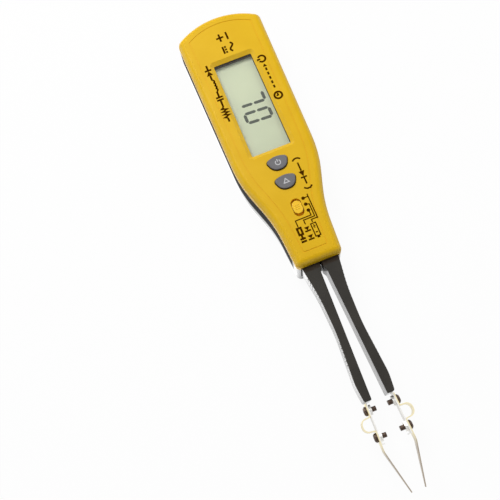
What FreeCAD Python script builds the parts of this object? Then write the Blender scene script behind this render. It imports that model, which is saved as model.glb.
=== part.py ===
"""Tweezer-type component tester as a parametric FreeCAD document.

Frame: +X to the right, +Y towards the tail of the handle, +Z up out of the display, millimetres.
The tester lies on its flat back at Z = 0 and its box is centred on X = 0 and Y = 0.
Lengths along the handle are measured from the mouth, where the arms come out.
"""
import FreeCAD
import Part
import math
import os
import re
from types import SimpleNamespace
from FreeCAD import Placement, Rotation, Vector

# Driving dimensions: alias, value in millimetres or degrees, meaning.
DIMENSIONS = (
    ("body_length", 131.4, "handle from mouth to tail"),
    ("body_thickness", 22.0, "handle from back to face"),
    ("parting_height", 16.5, "joint between the shells above the back"),
    ("tail_half_width", 20.8, "half width at the tail corners"),
    ("shoulder_half_width", 19.1, "half width where the handle starts to narrow"),
    ("shoulder_distance", 46.4, "shoulder from the mouth"),
    ("neck_half_width", 11.7, "half width at the neck"),
    ("neck_distance", 22.9, "neck from the mouth"),
    ("mouth_half_width", 10.2, "half width at the mouth"),
    ("shoulder_radius", 62.0, "rounding of the shoulder in plan"),
    ("neck_radius", 68.0, "rounding of the neck in plan"),
    ("tail_slope", 33.0, "slope of the tail's end at its corners, degrees"),
    ("tail_corner_radius", 3.6, "rounding of the tail corners in plan"),
    ("mouth_corner_radius", 2.5, "rounding of the mouth corners in plan"),
    ("edge_radius", 3.0, "rounding of the outer edges of both shells"),
    ("shell_wall", 2.0, "wall of both shells"),
    ("panel_inset", 5.0, "panel line from the outer edge"),
    ("panel_line_width", 0.5, "width of the panel line"),
    ("panel_line_depth", 0.2, "depth of the panel line"),
    ("move_gap", 0.3, "clearance beside pieces that move"),
    ("seat_gap", 0.1, "clearance beside pieces that are fixed"),
    ("pin_gap", 0.05, "radial clearance of pins and screws in holes"),
    ("least_radius", 0.3, "tightest corner of an outline that is drawn in"),
    ("view_width", 18.4, "display opening across the handle"),
    ("view_length", 50.4, "display opening along the handle"),
    ("view_distance", 55.15, "display opening from the mouth"),
    ("view_bevel", 1.8, "bevel round the display opening, outwards"),
    ("view_bevel_depth", 1.2, "bevel round the display opening, inwards"),
    ("view_corner_radius", 0.6, "corners of the display opening"),
    ("lcd_recess", 3.9, "display surface below the face"),
    ("lcd_thickness", 2.2, "display glass"),
    ("lcd_border", 1.2, "display glass beyond the opening"),
    ("window_thickness", 1.0, "clear window over the display"),
    ("window_border", 1.9, "clear window beyond the opening"),
    ("window_recess", 0.6, "seat of the window in the shell"),
    ("bezel_wall", 1.2, "wall of the display frame"),
    ("zebra_width", 2.0, "rubber contact strip under the display"),
    ("zebra_end_margin", 2.0, "strip ends short of the display glass"),
    ("board_thickness", 1.6, "circuit board"),
    ("board_height", 9.0, "underside of the circuit board above the back"),
    ("board_start", 14.0, "front edge of the circuit board from the mouth"),
    ("board_tail_space", 20.4, "circuit board's end before the tail"),
    ("column_spread", 14.8, "tail screw columns from the middle"),
    ("column_tail_space", 24.4, "tail screw columns before the tail"),
    ("front_column_spread", 8.4, "front screw columns from the middle"),
    ("front_column_distance", 30.0, "front screw columns from the mouth"),
    ("column_radius", 2.3, "screw column through the board"),
    ("column_foot_radius", 3.2, "screw column under the board"),
    ("case_screw_radius", 1.0, "thread of a case screw"),
    ("case_head_radius", 1.8, "head of a case screw"),
    ("case_head_height", 1.4, "head of a case screw"),
    ("case_head_seat", 3.5, "seat of a case screw's head above the back"),
    ("case_screw_end", 1.2, "case screw ends below the ceiling"),
    ("button_half_width", 5.1, "half width of a button at its side corners before rounding"),
    ("button_length", 6.5, "button along the handle"),
    ("button_crown", 1.85, "peak of the button above its side corners"),
    ("button_corner", 2.05, "side corners above the button's middle"),
    ("button_foot", 3.1, "half width of the button's lower curve"),
    ("button_lower_radius", 3.9, "rounding of the button's lower corners"),
    ("button_side_radius", 1.5, "rounding of the button's side corners"),
    ("button_peak_radius", 9.1, "rounding of the button's peak"),
    ("upper_button_distance", 47.4, "upper button from the mouth"),
    ("lower_button_distance", 37.8, "lower button from the mouth"),
    ("button_proud", 1.0, "button above the face"),
    ("button_travel", 0.8, "press of a button"),
    ("button_gap", 0.25, "clearance round a button"),
    ("button_edge_radius", 0.5, "rounding of a button's top edge"),
    ("button_flange", 0.9, "flange of a button under the face"),
    ("flange_thickness", 0.7, "flange of a button or of the knob"),
    ("stem_radius", 1.6, "stem of a button"),
    ("tact_width", 6.0, "switch body under a button"),
    ("tact_height", 3.4, "switch body under a button"),
    ("plunger_radius", 1.7, "plunger of a button's switch"),
    ("plunger_proud", 0.9, "plunger above its switch body"),
    ("plunger_depth", 1.1, "plunger inside its switch body"),
    ("knob_width", 4.2, "slide knob across the handle"),
    ("knob_length", 6.0, "slide knob along the handle"),
    ("knob_distance", 25.0, "slide knob from the mouth, at the middle of its throw"),
    ("knob_proud", 0.4, "slide knob above the face"),
    ("knob_travel", 2.0, "throw of the slide knob"),
    ("knob_gap", 0.2, "clearance round the slide knob"),
    ("skirt_width", 6.6, "plate under the slide knob"),
    ("can_width", 4.4, "slide switch body across the handle"),
    ("can_length", 9.4, "slide switch body along the handle"),
    ("can_height", 3.2, "slide switch body"),
    ("can_wall", 0.4, "slide switch body's sheet"),
    ("lever_width", 1.4, "lever of the slide switch"),
    ("arm_depth", 11.0, "tweezer arm from front to back"),
    ("arm_drop", 3.7, "tweezer arm's front below the face"),
    ("arm_length", 59.8, "tweezer arm beyond the mouth"),
    ("arm_root", 10.0, "tweezer arm inside the mouth"),
    ("root_outer", 8.3, "outer side of the arm at the mouth"),
    ("rear_outer", 7.7, "outer side of the arm at its rear"),
    ("rear_inner", 1.2, "inner side of the arm at its rear"),
    ("neck_outer", 6.35, "outer side of the arm past the mouth"),
    ("neck_reach", 13.5, "where that is, from the mouth"),
    ("waist_outer", 5.75, "outer side of the arm at its slimmest"),
    ("waist_reach", 30.0, "where that is, from the mouth"),
    ("swell_outer", 7.25, "outer side of the arm at its swell"),
    ("swell_back", 7.3, "swell before the arm's end"),
    ("end_outer", 6.5, "outer side of the arm at its end"),
    ("end_inner", 3.34, "inner side of the arm at its end"),
    ("slit_inner", 1.35, "inner side of the arm where the gap is open"),
    ("slit_reach", 4.2, "where that is, from the mouth"),
    ("root_inner", 0.4, "inner side of the arm at the mouth"),
    ("root_reach", 2.4, "where the gap starts, from the mouth"),
    ("arm_edge_radius", 0.5, "rounding of the arm's long edges"),
    ("end_inner_radius", 0.5, "rounding of the arm in plan at its end, inside"),
    ("end_outer_radius", 1.0, "rounding of the arm in plan at its end, outside"),
    ("swell_radius", 25.0, "rounding of the arm in plan at its swell"),
    ("waist_radius", 100.0, "rounding of the arm in plan at its slimmest"),
    ("arm_neck_radius", 80.0, "rounding of the arm in plan past the mouth"),
    ("root_outer_radius", 3.0, "rounding of the arm in plan at the mouth, outside"),
    ("rear_radius", 1.5, "rounding of the arm in plan at its rear"),
    ("root_inner_radius", 2.0, "rounding of the arm in plan at the mouth, inside"),
    ("gap_start_radius", 0.8, "rounding of the arm in plan where the gap starts"),
    ("slit_radius", 2.0, "rounding of the arm in plan where the gap is open"),
    ("pivot_spread", 5.0, "pivot pin from the middle"),
    ("pivot_inside", 6.0, "pivot pin inside the mouth"),
    ("pin_radius", 1.0, "pivot pin"),
    ("pin_seat", 4.0, "pivot pin in its lower boss"),
    ("pin_boss_radius", 2.6, "bosses that hold a pivot pin"),
    ("arm_screw_spread", 6.0, "arm screw from the middle"),
    ("arm_screw_reach", 1.5, "arm screw from the mouth"),
    ("arm_screw_radius", 0.8, "thread of an arm screw"),
    ("arm_head_radius", 1.6, "head of an arm screw"),
    ("arm_head_height", 1.2, "head of an arm screw"),
    ("arm_head_sink", 0.4, "head of an arm screw below the surface"),
    ("arm_screw_cover", 1.4, "cover left over the arm screw's end"),
    ("spring_radius", 1.3, "middle of the spring wire from its axis"),
    ("spring_wire", 0.4, "spring wire"),
    ("spring_pitch", 1.1, "spring pitch"),
    ("spring_turns", 5, "turns of the spring"),
    ("spring_reach", 1.0, "spring axis beyond the mouth"),
    ("spring_height", 2.7, "spring axis above the arm's middle"),
    ("blade_thickness", 0.45, "contact blade and tip strip"),
    ("blade_width", 4.8, "contact blade and tip strip"),
    ("blade_spread", 5.85, "outer face of the blade at the arm's end"),
    ("blade_splay", 1.9, "blade's lean outwards, degrees"),
    ("blade_reach", 17.0, "blade beyond the arm's end"),
    ("blade_rear", 1.5, "blade behind the arm's rear"),
    ("blade_lip", 0.9, "lip folded in at the blade's end"),
    ("tip_start", 0.3, "tip strip's end from the arm's end"),
    ("first_screw", 3.05, "first tip screw from the arm's end"),
    ("screw_spacing", 10.7, "between the tip screws"),
    ("loop_height", 4.3, "loop of the tip strip"),
    ("loop_foot", 2.8, "half width of the loop at its foot"),
    ("loop_top", 2.45, "half width of the loop at its top"),
    ("loop_radius", 2.4, "rounding of the loop's top"),
    ("loop_foot_radius", 0.6, "rounding of the loop's feet"),
    ("bend_reach", 19.7, "bend of the tip from the arm's end"),
    ("bend_radius", 6.0, "rounding of the bend"),
    ("tip_bend", 14.6, "bend of the tip inwards, degrees"),
    ("tip_length", 17.6, "pointed part of the tip"),
    ("tip_point", 0.5, "width of the tip's point"),
    ("tip_screw_radius", 1.0, "thread of a tip screw"),
    ("tip_head_radius", 1.85, "head of a tip screw"),
    ("tip_head_height", 1.3, "head of a tip screw"),
    ("tip_screw_end", 3.4, "tip screw's end inside the blade's face"),
    ("nut_flats", 4.0, "tip nut across its flats"),
    ("nut_height", 1.0, "tip nut"),
    ("recess_width", 0.5, "cross recess of a screw head"),
    ("recess_reach", 1.1, "cross recess along each arm, over the head's radius"),
    ("recess_floor", 0.45, "floor of the cross recess, over the head's height"),
    ("head_side", 0.6, "upright side of a screw head, over its height"),
    ("head_crown", 0.7, "flat top of a screw head, over its radius"),
    ("jack_spread", 9.5, "input jack from the middle"),
    ("jack_height", 9.8, "input jack above the back"),
    ("jack_radius", 2.0, "bore of an input jack"),
    ("sleeve_radius", 3.0, "outside of a jack's sleeve"),
    ("sleeve_length", 13.4, "jack's sleeve"),
    ("collar_radius", 4.4, "coloured collar of a jack"),
    ("collar_bore", 2.3, "bore of a jack's collar"),
    ("collar_thickness", 2.0, "coloured collar of a jack"),
    ("collar_sink", 5.0, "collar's seat before the tail"),
    ("block_margin", 1.6, "block round the jack sleeves"),
    ("tag_width", 3.0, "solder tag of a jack"),
    ("tag_thickness", 0.5, "solder tag of a jack"),
    ("tag_length", 4.5, "solder tag on the board"),
    ("cell_radius", 10.0, "coin cell"),
    ("cell_thickness", 3.2, "coin cell"),
    ("cell_rim", 1.2, "coin cell's can outside its lower cap"),
    ("cell_distance", 82.0, "coin cell from the mouth"),
    ("holder_wall", 1.6, "coin cell holder"),
    ("contact_thickness", 0.3, "sheet of the cell contacts"),
    ("contact_width", 4.0, "width of the cell contacts"),
    ("holder_roof", 0.9, "coin cell holder above the cell"),
    ("door_width", 26.0, "battery door across the handle"),
    ("door_length", 32.0, "battery door along the handle"),
    ("door_distance", 82.0, "middle of the battery door from the mouth"),
    ("door_plate", 1.0, "battery door's plate"),
    ("door_sink", 0.2, "battery door below the back"),
    ("door_ledge", 1.6, "ledge round the battery opening"),
    ("door_corner_radius", 2.0, "corners of the battery door"),
    ("hook_width", 5.0, "hook of the battery door"),
    ("hook_spread", 6.0, "hook from the middle"),
    ("hook_reach", 1.2, "hook over the floor"),
    ("hook_thickness", 0.8, "hook of the battery door"),
    ("ear_radius", 3.4, "screw ear of the battery door"),
    ("door_screw_radius", 0.8, "thread of the door screw"),
    ("door_head_radius", 1.5, "head of the door screw"),
    ("door_head_height", 0.6, "head of the door screw"),
    ("door_boss_height", 5.0, "boss for the door screw above the back"),
    ("buzzer_radius", 6.0, "buzzer"),
    ("buzzer_height", 4.2, "buzzer"),
    ("buzzer_hole", 1.0, "sound hole of the buzzer"),
    ("buzzer_space", 0.15, "buzzer from the boss of the door screw"),
    ("sound_hole_radius", 0.6, "sound holes in the back"),
    ("sound_hole_ring", 2.6, "ring of sound holes"),
    ("chip_width", 10.0, "measuring chip"),
    ("chip_height", 1.4, "measuring chip"),
    ("chip_distance", 42.0, "measuring chip from the mouth"),
    ("chip_pins", 10, "pins on each side of the chip"),
    ("chip_pitch", 0.8, "pitch of the chip's pins"),
    ("pin_width", 0.35, "pin of the chip"),
    ("pin_length", 1.0, "pin of the chip beyond its body"),
    ("pin_sheet", 0.2, "pin of the chip"),
    ("wiper_thickness", 0.4, "strip that touches the blade's rear"),
    ("wiper_width", 4.0, "strip that touches the blade's rear"),
    ("wiper_foot", 3.0, "strip standing on the board"),
    ("wiper_gap", 0.2, "wiper from the blade"),
)

doc = FreeCAD.newDocument("component_tester")
sheet = doc.addObject("Spreadsheet::Sheet", "Dimensions")
for row, (alias, value, meaning) in enumerate(DIMENSIONS, start=1):
    sheet.set(f"A{row}", meaning)
    sheet.set(f"B{row}", str(value))
    sheet.setAlias(f"B{row}", alias)
doc.recompute()
d = SimpleNamespace(**{alias: float(sheet.get(alias)) for alias, _, _ in DIMENSIONS})

# Places that follow from the driving dimensions.
strip_end = d.bend_reach * math.cos(math.radians(d.blade_splay))
point_end = d.tip_length * math.cos(math.radians(d.tip_bend - d.blade_splay))
tip_reach = d.arm_length + strip_end + point_end
mouth = (tip_reach - d.body_length) / 2
tail = mouth + d.body_length
ceiling = d.body_thickness - d.shell_wall
board_top = d.board_height + d.board_thickness
arm_top = d.body_thickness - d.arm_drop
arm_bottom = arm_top - d.arm_depth
arm_middle = (arm_top + arm_bottom) / 2
lcd_top = d.body_thickness - d.lcd_recess
lcd_bottom = lcd_top - d.lcd_thickness
window_top = ceiling + d.window_recess
window_bottom = window_top - d.window_thickness
view_middle = mouth + d.view_distance + d.view_length / 2
flange_top = ceiling - d.move_gap
flange_bottom = flange_top - d.flange_thickness
tact_top = board_top + d.tact_height
plunger_top = tact_top + d.plunger_proud
collar_seat = tail - d.collar_sink
sleeve_start = collar_seat - d.sleeve_length
cell_top = d.board_height - d.holder_roof - d.contact_thickness
cell_bottom = cell_top - d.cell_thickness
cell_middle = mouth + d.cell_distance
door_ear = (0, mouth + d.door_distance - d.door_length / 2)
door_boss_radius = d.door_screw_radius + d.pin_gap + d.shell_wall
buzzer_middle = door_ear[1] - door_boss_radius - d.buzzer_space - d.buzzer_radius
blade_turn = Rotation(Vector(0, 0, 1), d.blade_splay)
blade_origin = Vector(d.blade_spread, mouth - d.arm_length, arm_middle)
columns = [
    (side * spread, place)
    for spread, place in (
        (d.front_column_spread, mouth + d.front_column_distance),
        (d.column_spread, tail - d.column_tail_space),
    )
    for side in (-1, 1)
]
# Height of the back, tolerance of places, and the share of a run that a full rounding takes.
BACK = 0
SAME_PLACE = 1e-4
ROUND_SHARE = 0.995
# Directions of turned pieces, and the look of an alias in a formula.
FACE_UP = Rotation()
FACE_DOWN = Rotation(Vector(1, 0, 0), 180)
FACE_TAIL = Rotation(Vector(1, 0, 0), -90)
FACE_RIGHT = Rotation(Vector(0, 1, 0), 90)
ALIAS = re.compile(r"[a-z]+(?:_[a-z]+)+")


# Binding and primitives

def bind(thing, name, formula):
    """Tie one property of a document object to a formula over the sheet's aliases."""
    thing.setExpression(name, ALIAS.sub(lambda word: "Dimensions." + word.group(), str(formula)))


def box(name, length, width, height, foot):
    """Box of bound sizes, standing centred on a foot point."""
    solid = doc.addObject("Part::Box", name)
    bind(solid, "Length", length)
    bind(solid, "Width", width)
    bind(solid, "Height", height)
    bind(solid, "Placement.Base.x", f"{foot[0]} - ({length}) / 2")
    bind(solid, "Placement.Base.y", f"{foot[1]} - ({width}) / 2")
    solid.Placement.Base.z = foot[2]
    return solid


def cylinder(name, radius, height, foot, turn=FACE_UP):
    """Cylinder of bound sizes, from a foot point along the turned Z axis."""
    solid = doc.addObject("Part::Cylinder", name)
    bind(solid, "Radius", radius)
    bind(solid, "Height", height)
    solid.Placement = Placement(Vector(*foot), turn)
    return solid


def fuse(name, solids):
    """Several overlapping or touching solids as one."""
    joined = doc.addObject("Part::MultiFuse", name)
    joined.Shapes = solids
    return joined


def cut(name, base, tools):
    """A solid less its tools."""
    left = doc.addObject("Part::Cut", name)
    left.Base = base
    left.Tool = tools[0] if len(tools) == 1 else fuse(name + "_tools", tools)
    return left


def group(name, solids):
    """Separate solids that share one node."""
    together = doc.addObject("Part::Compound", name)
    together.Links = solids
    return together


# Outlines in plan

def shifted(points, radii, distance, closed=True):
    """Outline moved to its left by a distance, with its roundings kept parallel."""
    moved = []
    for index, corner in enumerate(points):
        ahead = points[(index + 1) % len(points)].sub(corner)
        behind = corner.sub(points[index - 1])
        if not closed and index == 0:
            behind = ahead
        if not closed and index == len(points) - 1:
            ahead = behind
        behind.normalize()
        ahead.normalize()
        left = Vector(-behind.y - ahead.y, behind.x + ahead.x, 0)
        place = corner.add(left.multiply(distance / (1 + behind.dot(ahead))))
        turn = math.copysign(1, behind.cross(ahead).z)
        moved.append((place, max(radii[index] - turn * distance, d.least_radius)))
    return [place for place, _ in moved], [radius for _, radius in moved]


def rounded(points, radii):
    """Closed outline of straight runs with tangent arcs at its corners, or none where a radius is 0."""
    arcs = []
    for index, corner in enumerate(points):
        behind = points[index - 1].sub(corner).normalize()
        ahead = points[(index + 1) % len(points)].sub(corner).normalize()
        half = behind.getAngle(ahead) / 2
        run = radii[index] / math.tan(half)
        start = corner.add(Vector(behind).multiply(run))
        end = corner.add(Vector(ahead).multiply(run))
        bisector = behind.add(ahead).normalize()
        centre = corner.add(bisector.multiply(radii[index] / math.sin(half)))
        arcs.append((start, end, centre, behind.cross(ahead).z < 0))
    outline = []
    for index, (start, end, centre, turns_left) in enumerate(arcs):
        first, last = (start, end) if turns_left else (end, start)
        angles = [math.atan2(place.y - centre.y, place.x - centre.x) for place in (first, last)]
        circle = Part.Circle(centre, Vector(0, 0, 1), max(radii[index], d.least_radius))
        if angles[1] < angles[0]:
            angles[1] += 2 * math.pi
        if radii[index] > 0:
            outline.append(Part.ArcOfCircle(circle, *angles))
        following = arcs[(index + 1) % len(arcs)][0]
        if end.distanceToPoint(following) > SAME_PLACE:
            outline.append(Part.LineSegment(end, following))
    return outline


def polygon(points):
    """Closed outline of straight runs."""
    return [
        Part.LineSegment(start, points[(index + 1) % len(points)])
        for index, start in enumerate(points)
    ]


def rectangle(middle, width, length):
    """Closed rectangle in the sketch plane."""
    x, y = width / 2, length / 2
    corners = ((-x, -y), (x, -y), (x, y), (-x, y))
    return polygon([Vector(middle[0] + across, middle[1] + along, 0) for across, along in corners])


def soft_rectangle(middle, width, length, radius):
    """Closed rectangle with rounded corners in the sketch plane."""
    x, y = width / 2, length / 2
    corners = ((-x, -y), (x, -y), (x, y), (-x, y))
    points = [Vector(middle[0] + across, middle[1] + along, 0) for across, along in corners]
    return rounded(points, [radius] * 4)


def circle(middle, radius):
    """Closed circle in the sketch plane."""
    return [Part.Circle(Vector(middle[0], middle[1], 0), Vector(0, 0, 1), radius)]


def strip(points, radii, thickness):
    """Closed outline of a bent strip of even thickness along an open run of points."""
    left = shifted(points, radii, thickness / 2, closed=False)
    right = shifted(points, radii, -thickness / 2, closed=False)
    for _, side_radii in (left, right):
        side_radii[0] = 0
        side_radii[-1] = 0
    return rounded(left[0][::-1] + right[0], left[1][::-1] + right[1])


def handle_outline(inset):
    """Plan of the handle, drawn in by a distance. One arc fills the tail between its corners."""
    slope = math.radians(d.tail_slope)
    corner_turn = math.tan((math.pi / 2 - slope) / 2)

    def tail_radius(end_run, corner_radius):
        """Largest arc that leaves room for the corners of the tail."""
        return ROUND_SHARE * (end_run - corner_radius * corner_turn) / math.tan(slope)

    outer_radius = tail_radius(d.tail_half_width / math.cos(slope), d.tail_corner_radius)
    peak = tail + outer_radius * (1 / math.cos(slope) - 1)
    tail_corner = peak - d.tail_half_width * math.tan(slope)
    right = [
        (d.mouth_half_width, mouth, d.mouth_corner_radius),
        (d.neck_half_width, mouth + d.neck_distance, d.neck_radius),
        (d.shoulder_half_width, mouth + d.shoulder_distance, d.shoulder_radius),
        (d.tail_half_width, tail_corner, d.tail_corner_radius),
    ]
    left = [(-x, y, radius) for x, y, radius in reversed(right)]
    corners = right + [(0, peak, outer_radius)] + left
    points = [Vector(x, y, 0) for x, y, _ in corners]
    radii = [radius for _, _, radius in corners]
    points, radii = shifted(points, radii, inset)
    top = len(right)
    radii[top] = tail_radius(points[top].distanceToPoint(points[top - 1]), radii[top - 1])
    return rounded(points, radii)


def button_outline(distance, grown=0.0):
    """Plan of a button: a shallow peak towards the display and a round lower side."""
    middle = mouth + distance
    low = middle - d.button_length / 2
    side = middle + d.button_corner
    points = [
        Vector(-d.button_foot, low, 0),
        Vector(d.button_foot, low, 0),
        Vector(d.button_half_width, side, 0),
        Vector(0, side + d.button_crown, 0),
        Vector(-d.button_half_width, side, 0),
    ]
    lower, corner = d.button_lower_radius, d.button_side_radius
    radii = [lower, lower, corner, d.button_peak_radius, corner]
    return rounded(*shifted(points, radii, -grown)) if grown else rounded(points, radii)


def arm_outline():
    """Plan of the right tweezer arm, from its end round its outer side to its rear and back."""
    end = mouth - d.arm_length
    corners = (
        (d.end_inner, end, d.end_inner_radius),
        (d.end_outer, end, d.end_outer_radius),
        (d.swell_outer, end + d.swell_back, d.swell_radius),
        (d.waist_outer, mouth - d.waist_reach, d.waist_radius),
        (d.neck_outer, mouth - d.neck_reach, d.arm_neck_radius),
        (d.root_outer, mouth, d.root_outer_radius),
        (d.rear_outer, mouth + d.arm_root, d.rear_radius),
        (d.rear_inner, mouth + d.arm_root, d.rear_radius),
        (d.root_inner, mouth, d.root_inner_radius),
        (d.root_inner, mouth - d.root_reach, d.gap_start_radius),
        (d.slit_inner, mouth - d.slit_reach, d.slit_radius),
    )
    return rounded([Vector(x, y, 0) for x, y, _ in corners], [radius for _, _, radius in corners])


def blade_slot():
    """Plan of the slot that holds the blade in an arm."""
    gap = d.seat_gap
    inner, outer = -d.blade_thickness - gap, gap
    front, rear = -d.arm_length, d.arm_length + 2 * d.arm_root
    corners = ((inner, front), (outer, front), (outer, rear), (inner, rear))
    flat = Vector(blade_origin.x, blade_origin.y, 0)
    return polygon([flat.add(blade_turn.multVec(Vector(x, y, 0))) for x, y in corners])


# PartDesign bodies

def new_body(name):
    """Empty body."""
    return doc.addObject("PartDesign::Body", name)


def sketch(body, name, outlines, height, role="XY_Plane"):
    """Sketch of closed outlines on one of the body's own planes, lifted along its normal."""
    plane = next(item for item in body.Origin.OriginFeatures if item.Role == role)
    drawing = body.newObject("Sketcher::SketchObject", name)
    drawing.AttachmentSupport = (plane, [""])
    drawing.MapMode = "FlatFace"
    bind(drawing, "AttachmentOffset.Base.z", height)
    for outline in outlines:
        drawing.addGeometry(outline, False)
    return drawing


def pad(body, name, outlines, height, length, role="XY_Plane"):
    """Pad from a height along the plane's normal, both given as formulas."""
    feature = body.newObject("PartDesign::Pad", name)
    feature.Profile = sketch(body, name + "_plan", outlines, height, role)
    bind(feature, "Length", length)
    return feature


def pocket(body, name, outlines, height, length, upward=False, role="XY_Plane"):
    """Pocket from a height, downwards or upwards along the plane's normal."""
    feature = body.newObject("PartDesign::Pocket", name)
    feature.Profile = sketch(body, name + "_plan", outlines, height, role)
    feature.Reversed = upward
    bind(feature, "Length", length)
    return feature


def level_edges(base, height, within=None):
    """Names of a feature's edges that lie at one height, and within a test of their middle."""
    doc.recompute()
    names = []
    for number, edge in enumerate(base.Shape.Edges, start=1):
        level = all(abs(corner.Z - height) < SAME_PLACE for corner in edge.Vertexes)
        if level and (within is None or within(edge.CenterOfMass)):
            names.append(f"Edge{number}")
    return names


def ease(body, name, base, height, radius):
    """Fillet of the base feature's edges that lie at one height."""
    feature = body.newObject("PartDesign::Fillet", name)
    feature.Base = (base, level_edges(base, height))
    bind(feature, "Radius", radius)
    return feature


def bevel(body, name, base, height, outwards, inwards, within):
    """Chamfer of the base feature's edges at one height that pass a test of their middle."""
    feature = body.newObject("PartDesign::Chamfer", name)
    feature.Base = (base, level_edges(base, height, within))
    feature.ChamferType = "Two distances"
    bind(feature, "Size", outwards)
    bind(feature, "Size2", inwards)
    return feature


def at_columns(radius):
    """Circles at the four screw columns."""
    return [circle(place, radius) for place in columns]


def at_pivots(radius):
    """Circles at the two pivot pins."""
    return [circle((side * d.pivot_spread, mouth + d.pivot_inside), radius) for side in (-1, 1)]


def at_jacks(radius):
    """Circles round the two jack axes, in a plane across the handle."""
    return [circle((side * d.jack_spread, d.jack_height), radius) for side in (-1, 1)]


def door_plans(gap):
    """Plans of the battery door's plate and screw ear and of the opening under it, less a gap."""
    middle = mouth + d.door_distance
    plate = soft_rectangle(
        (0, middle), d.door_width - 2 * gap, d.door_length - 2 * gap, d.door_corner_radius
    )
    ear = circle(door_ear, d.ear_radius - gap)
    boss_side = middle - d.door_length / 2 + door_boss_radius + d.door_ledge
    far_side = middle + d.door_length / 2 - d.door_ledge
    width = d.door_width - 2 * d.door_ledge
    length = far_side - boss_side
    opening = soft_rectangle(
        (0, (boss_side + far_side) / 2), width - 2 * gap, length - 2 * gap, d.door_corner_radius
    )
    return plate, ear, opening


def mouth_opening():
    """Plan of the opening that both shells leave for the arms."""
    depth = 2 * d.shell_wall
    return rectangle((0, mouth), 2 * (d.root_outer + d.move_gap), 2 * depth)


# Housing

def make_top_shell():
    """Yellow face shell with the display opening, button holes, switch slot and panel line."""
    body = new_body("top_shell")
    side = "body_thickness - parting_height"
    blank = pad(body, "face_blank", [handle_outline(0)], "parting_height", side)
    ease(body, "face_edge", blank, d.body_thickness, "edge_radius")
    hollow = f"{side} - shell_wall"
    pocket(body, "face_hollow", [handle_outline(d.shell_wall)], "parting_height", hollow, upward=True)
    pad(body, "face_columns", at_columns(d.column_radius), "parting_height", hollow)
    screw_hole = d.case_screw_radius + d.pin_gap
    pilot = f"{hollow} - case_screw_end / 2"
    pocket(body, "face_pilots", at_columns(screw_hole), "parting_height", pilot, upward=True)
    boss_foot = "body_thickness - arm_drop + move_gap"
    boss = "arm_drop - move_gap - shell_wall"
    pad(body, "face_pin_bosses", at_pivots(d.pin_boss_radius), boss_foot, boss)
    pin_hole = d.pin_radius + d.pin_gap
    pocket(body, "face_pin_holes", at_pivots(pin_hole), boss_foot, boss, upward=True)
    opening = f"{side} - arm_drop + move_gap"
    pocket(body, "face_mouth", [mouth_opening()], "parting_height", opening, upward=True)
    seat_width = d.view_width + 2 * (d.window_border + d.seat_gap)
    seat_length = d.view_length + 2 * (d.window_border + d.seat_gap)
    seat = rectangle((0, view_middle), seat_width, seat_length)
    pocket(body, "window_seat", [seat], "body_thickness - shell_wall", "window_recess", upward=True)
    holes = [button_outline(d.upper_button_distance, d.button_gap)]
    holes.append(button_outline(d.lower_button_distance, d.button_gap))
    slot_width = d.knob_width + 2 * d.knob_gap
    slot_length = d.knob_length + d.knob_travel + 2 * d.knob_gap
    slot_middle = mouth + d.knob_distance
    holes.append(soft_rectangle((0, slot_middle), slot_width, slot_length, slot_width / 2 * ROUND_SHARE))
    pocket(body, "control_holes", holes, "body_thickness", "shell_wall")
    line = [handle_outline(d.panel_inset), handle_outline(d.panel_inset + d.panel_line_width)]
    pocket(body, "panel_line", line, "body_thickness", "panel_line_depth")
    view = soft_rectangle((0, view_middle), d.view_width, d.view_length, d.view_corner_radius)
    view_hole = pocket(body, "view_hole", [view], "body_thickness", "shell_wall")
    bevel(
        body, "view_bevel_edge", view_hole, d.body_thickness, "view_bevel", "view_bevel_depth",
        within=lambda place: abs(place.x) <= d.view_width / 2 + SAME_PLACE
        and abs(place.y - view_middle) <= d.view_length / 2 + SAME_PLACE,
    )
    return body


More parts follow.
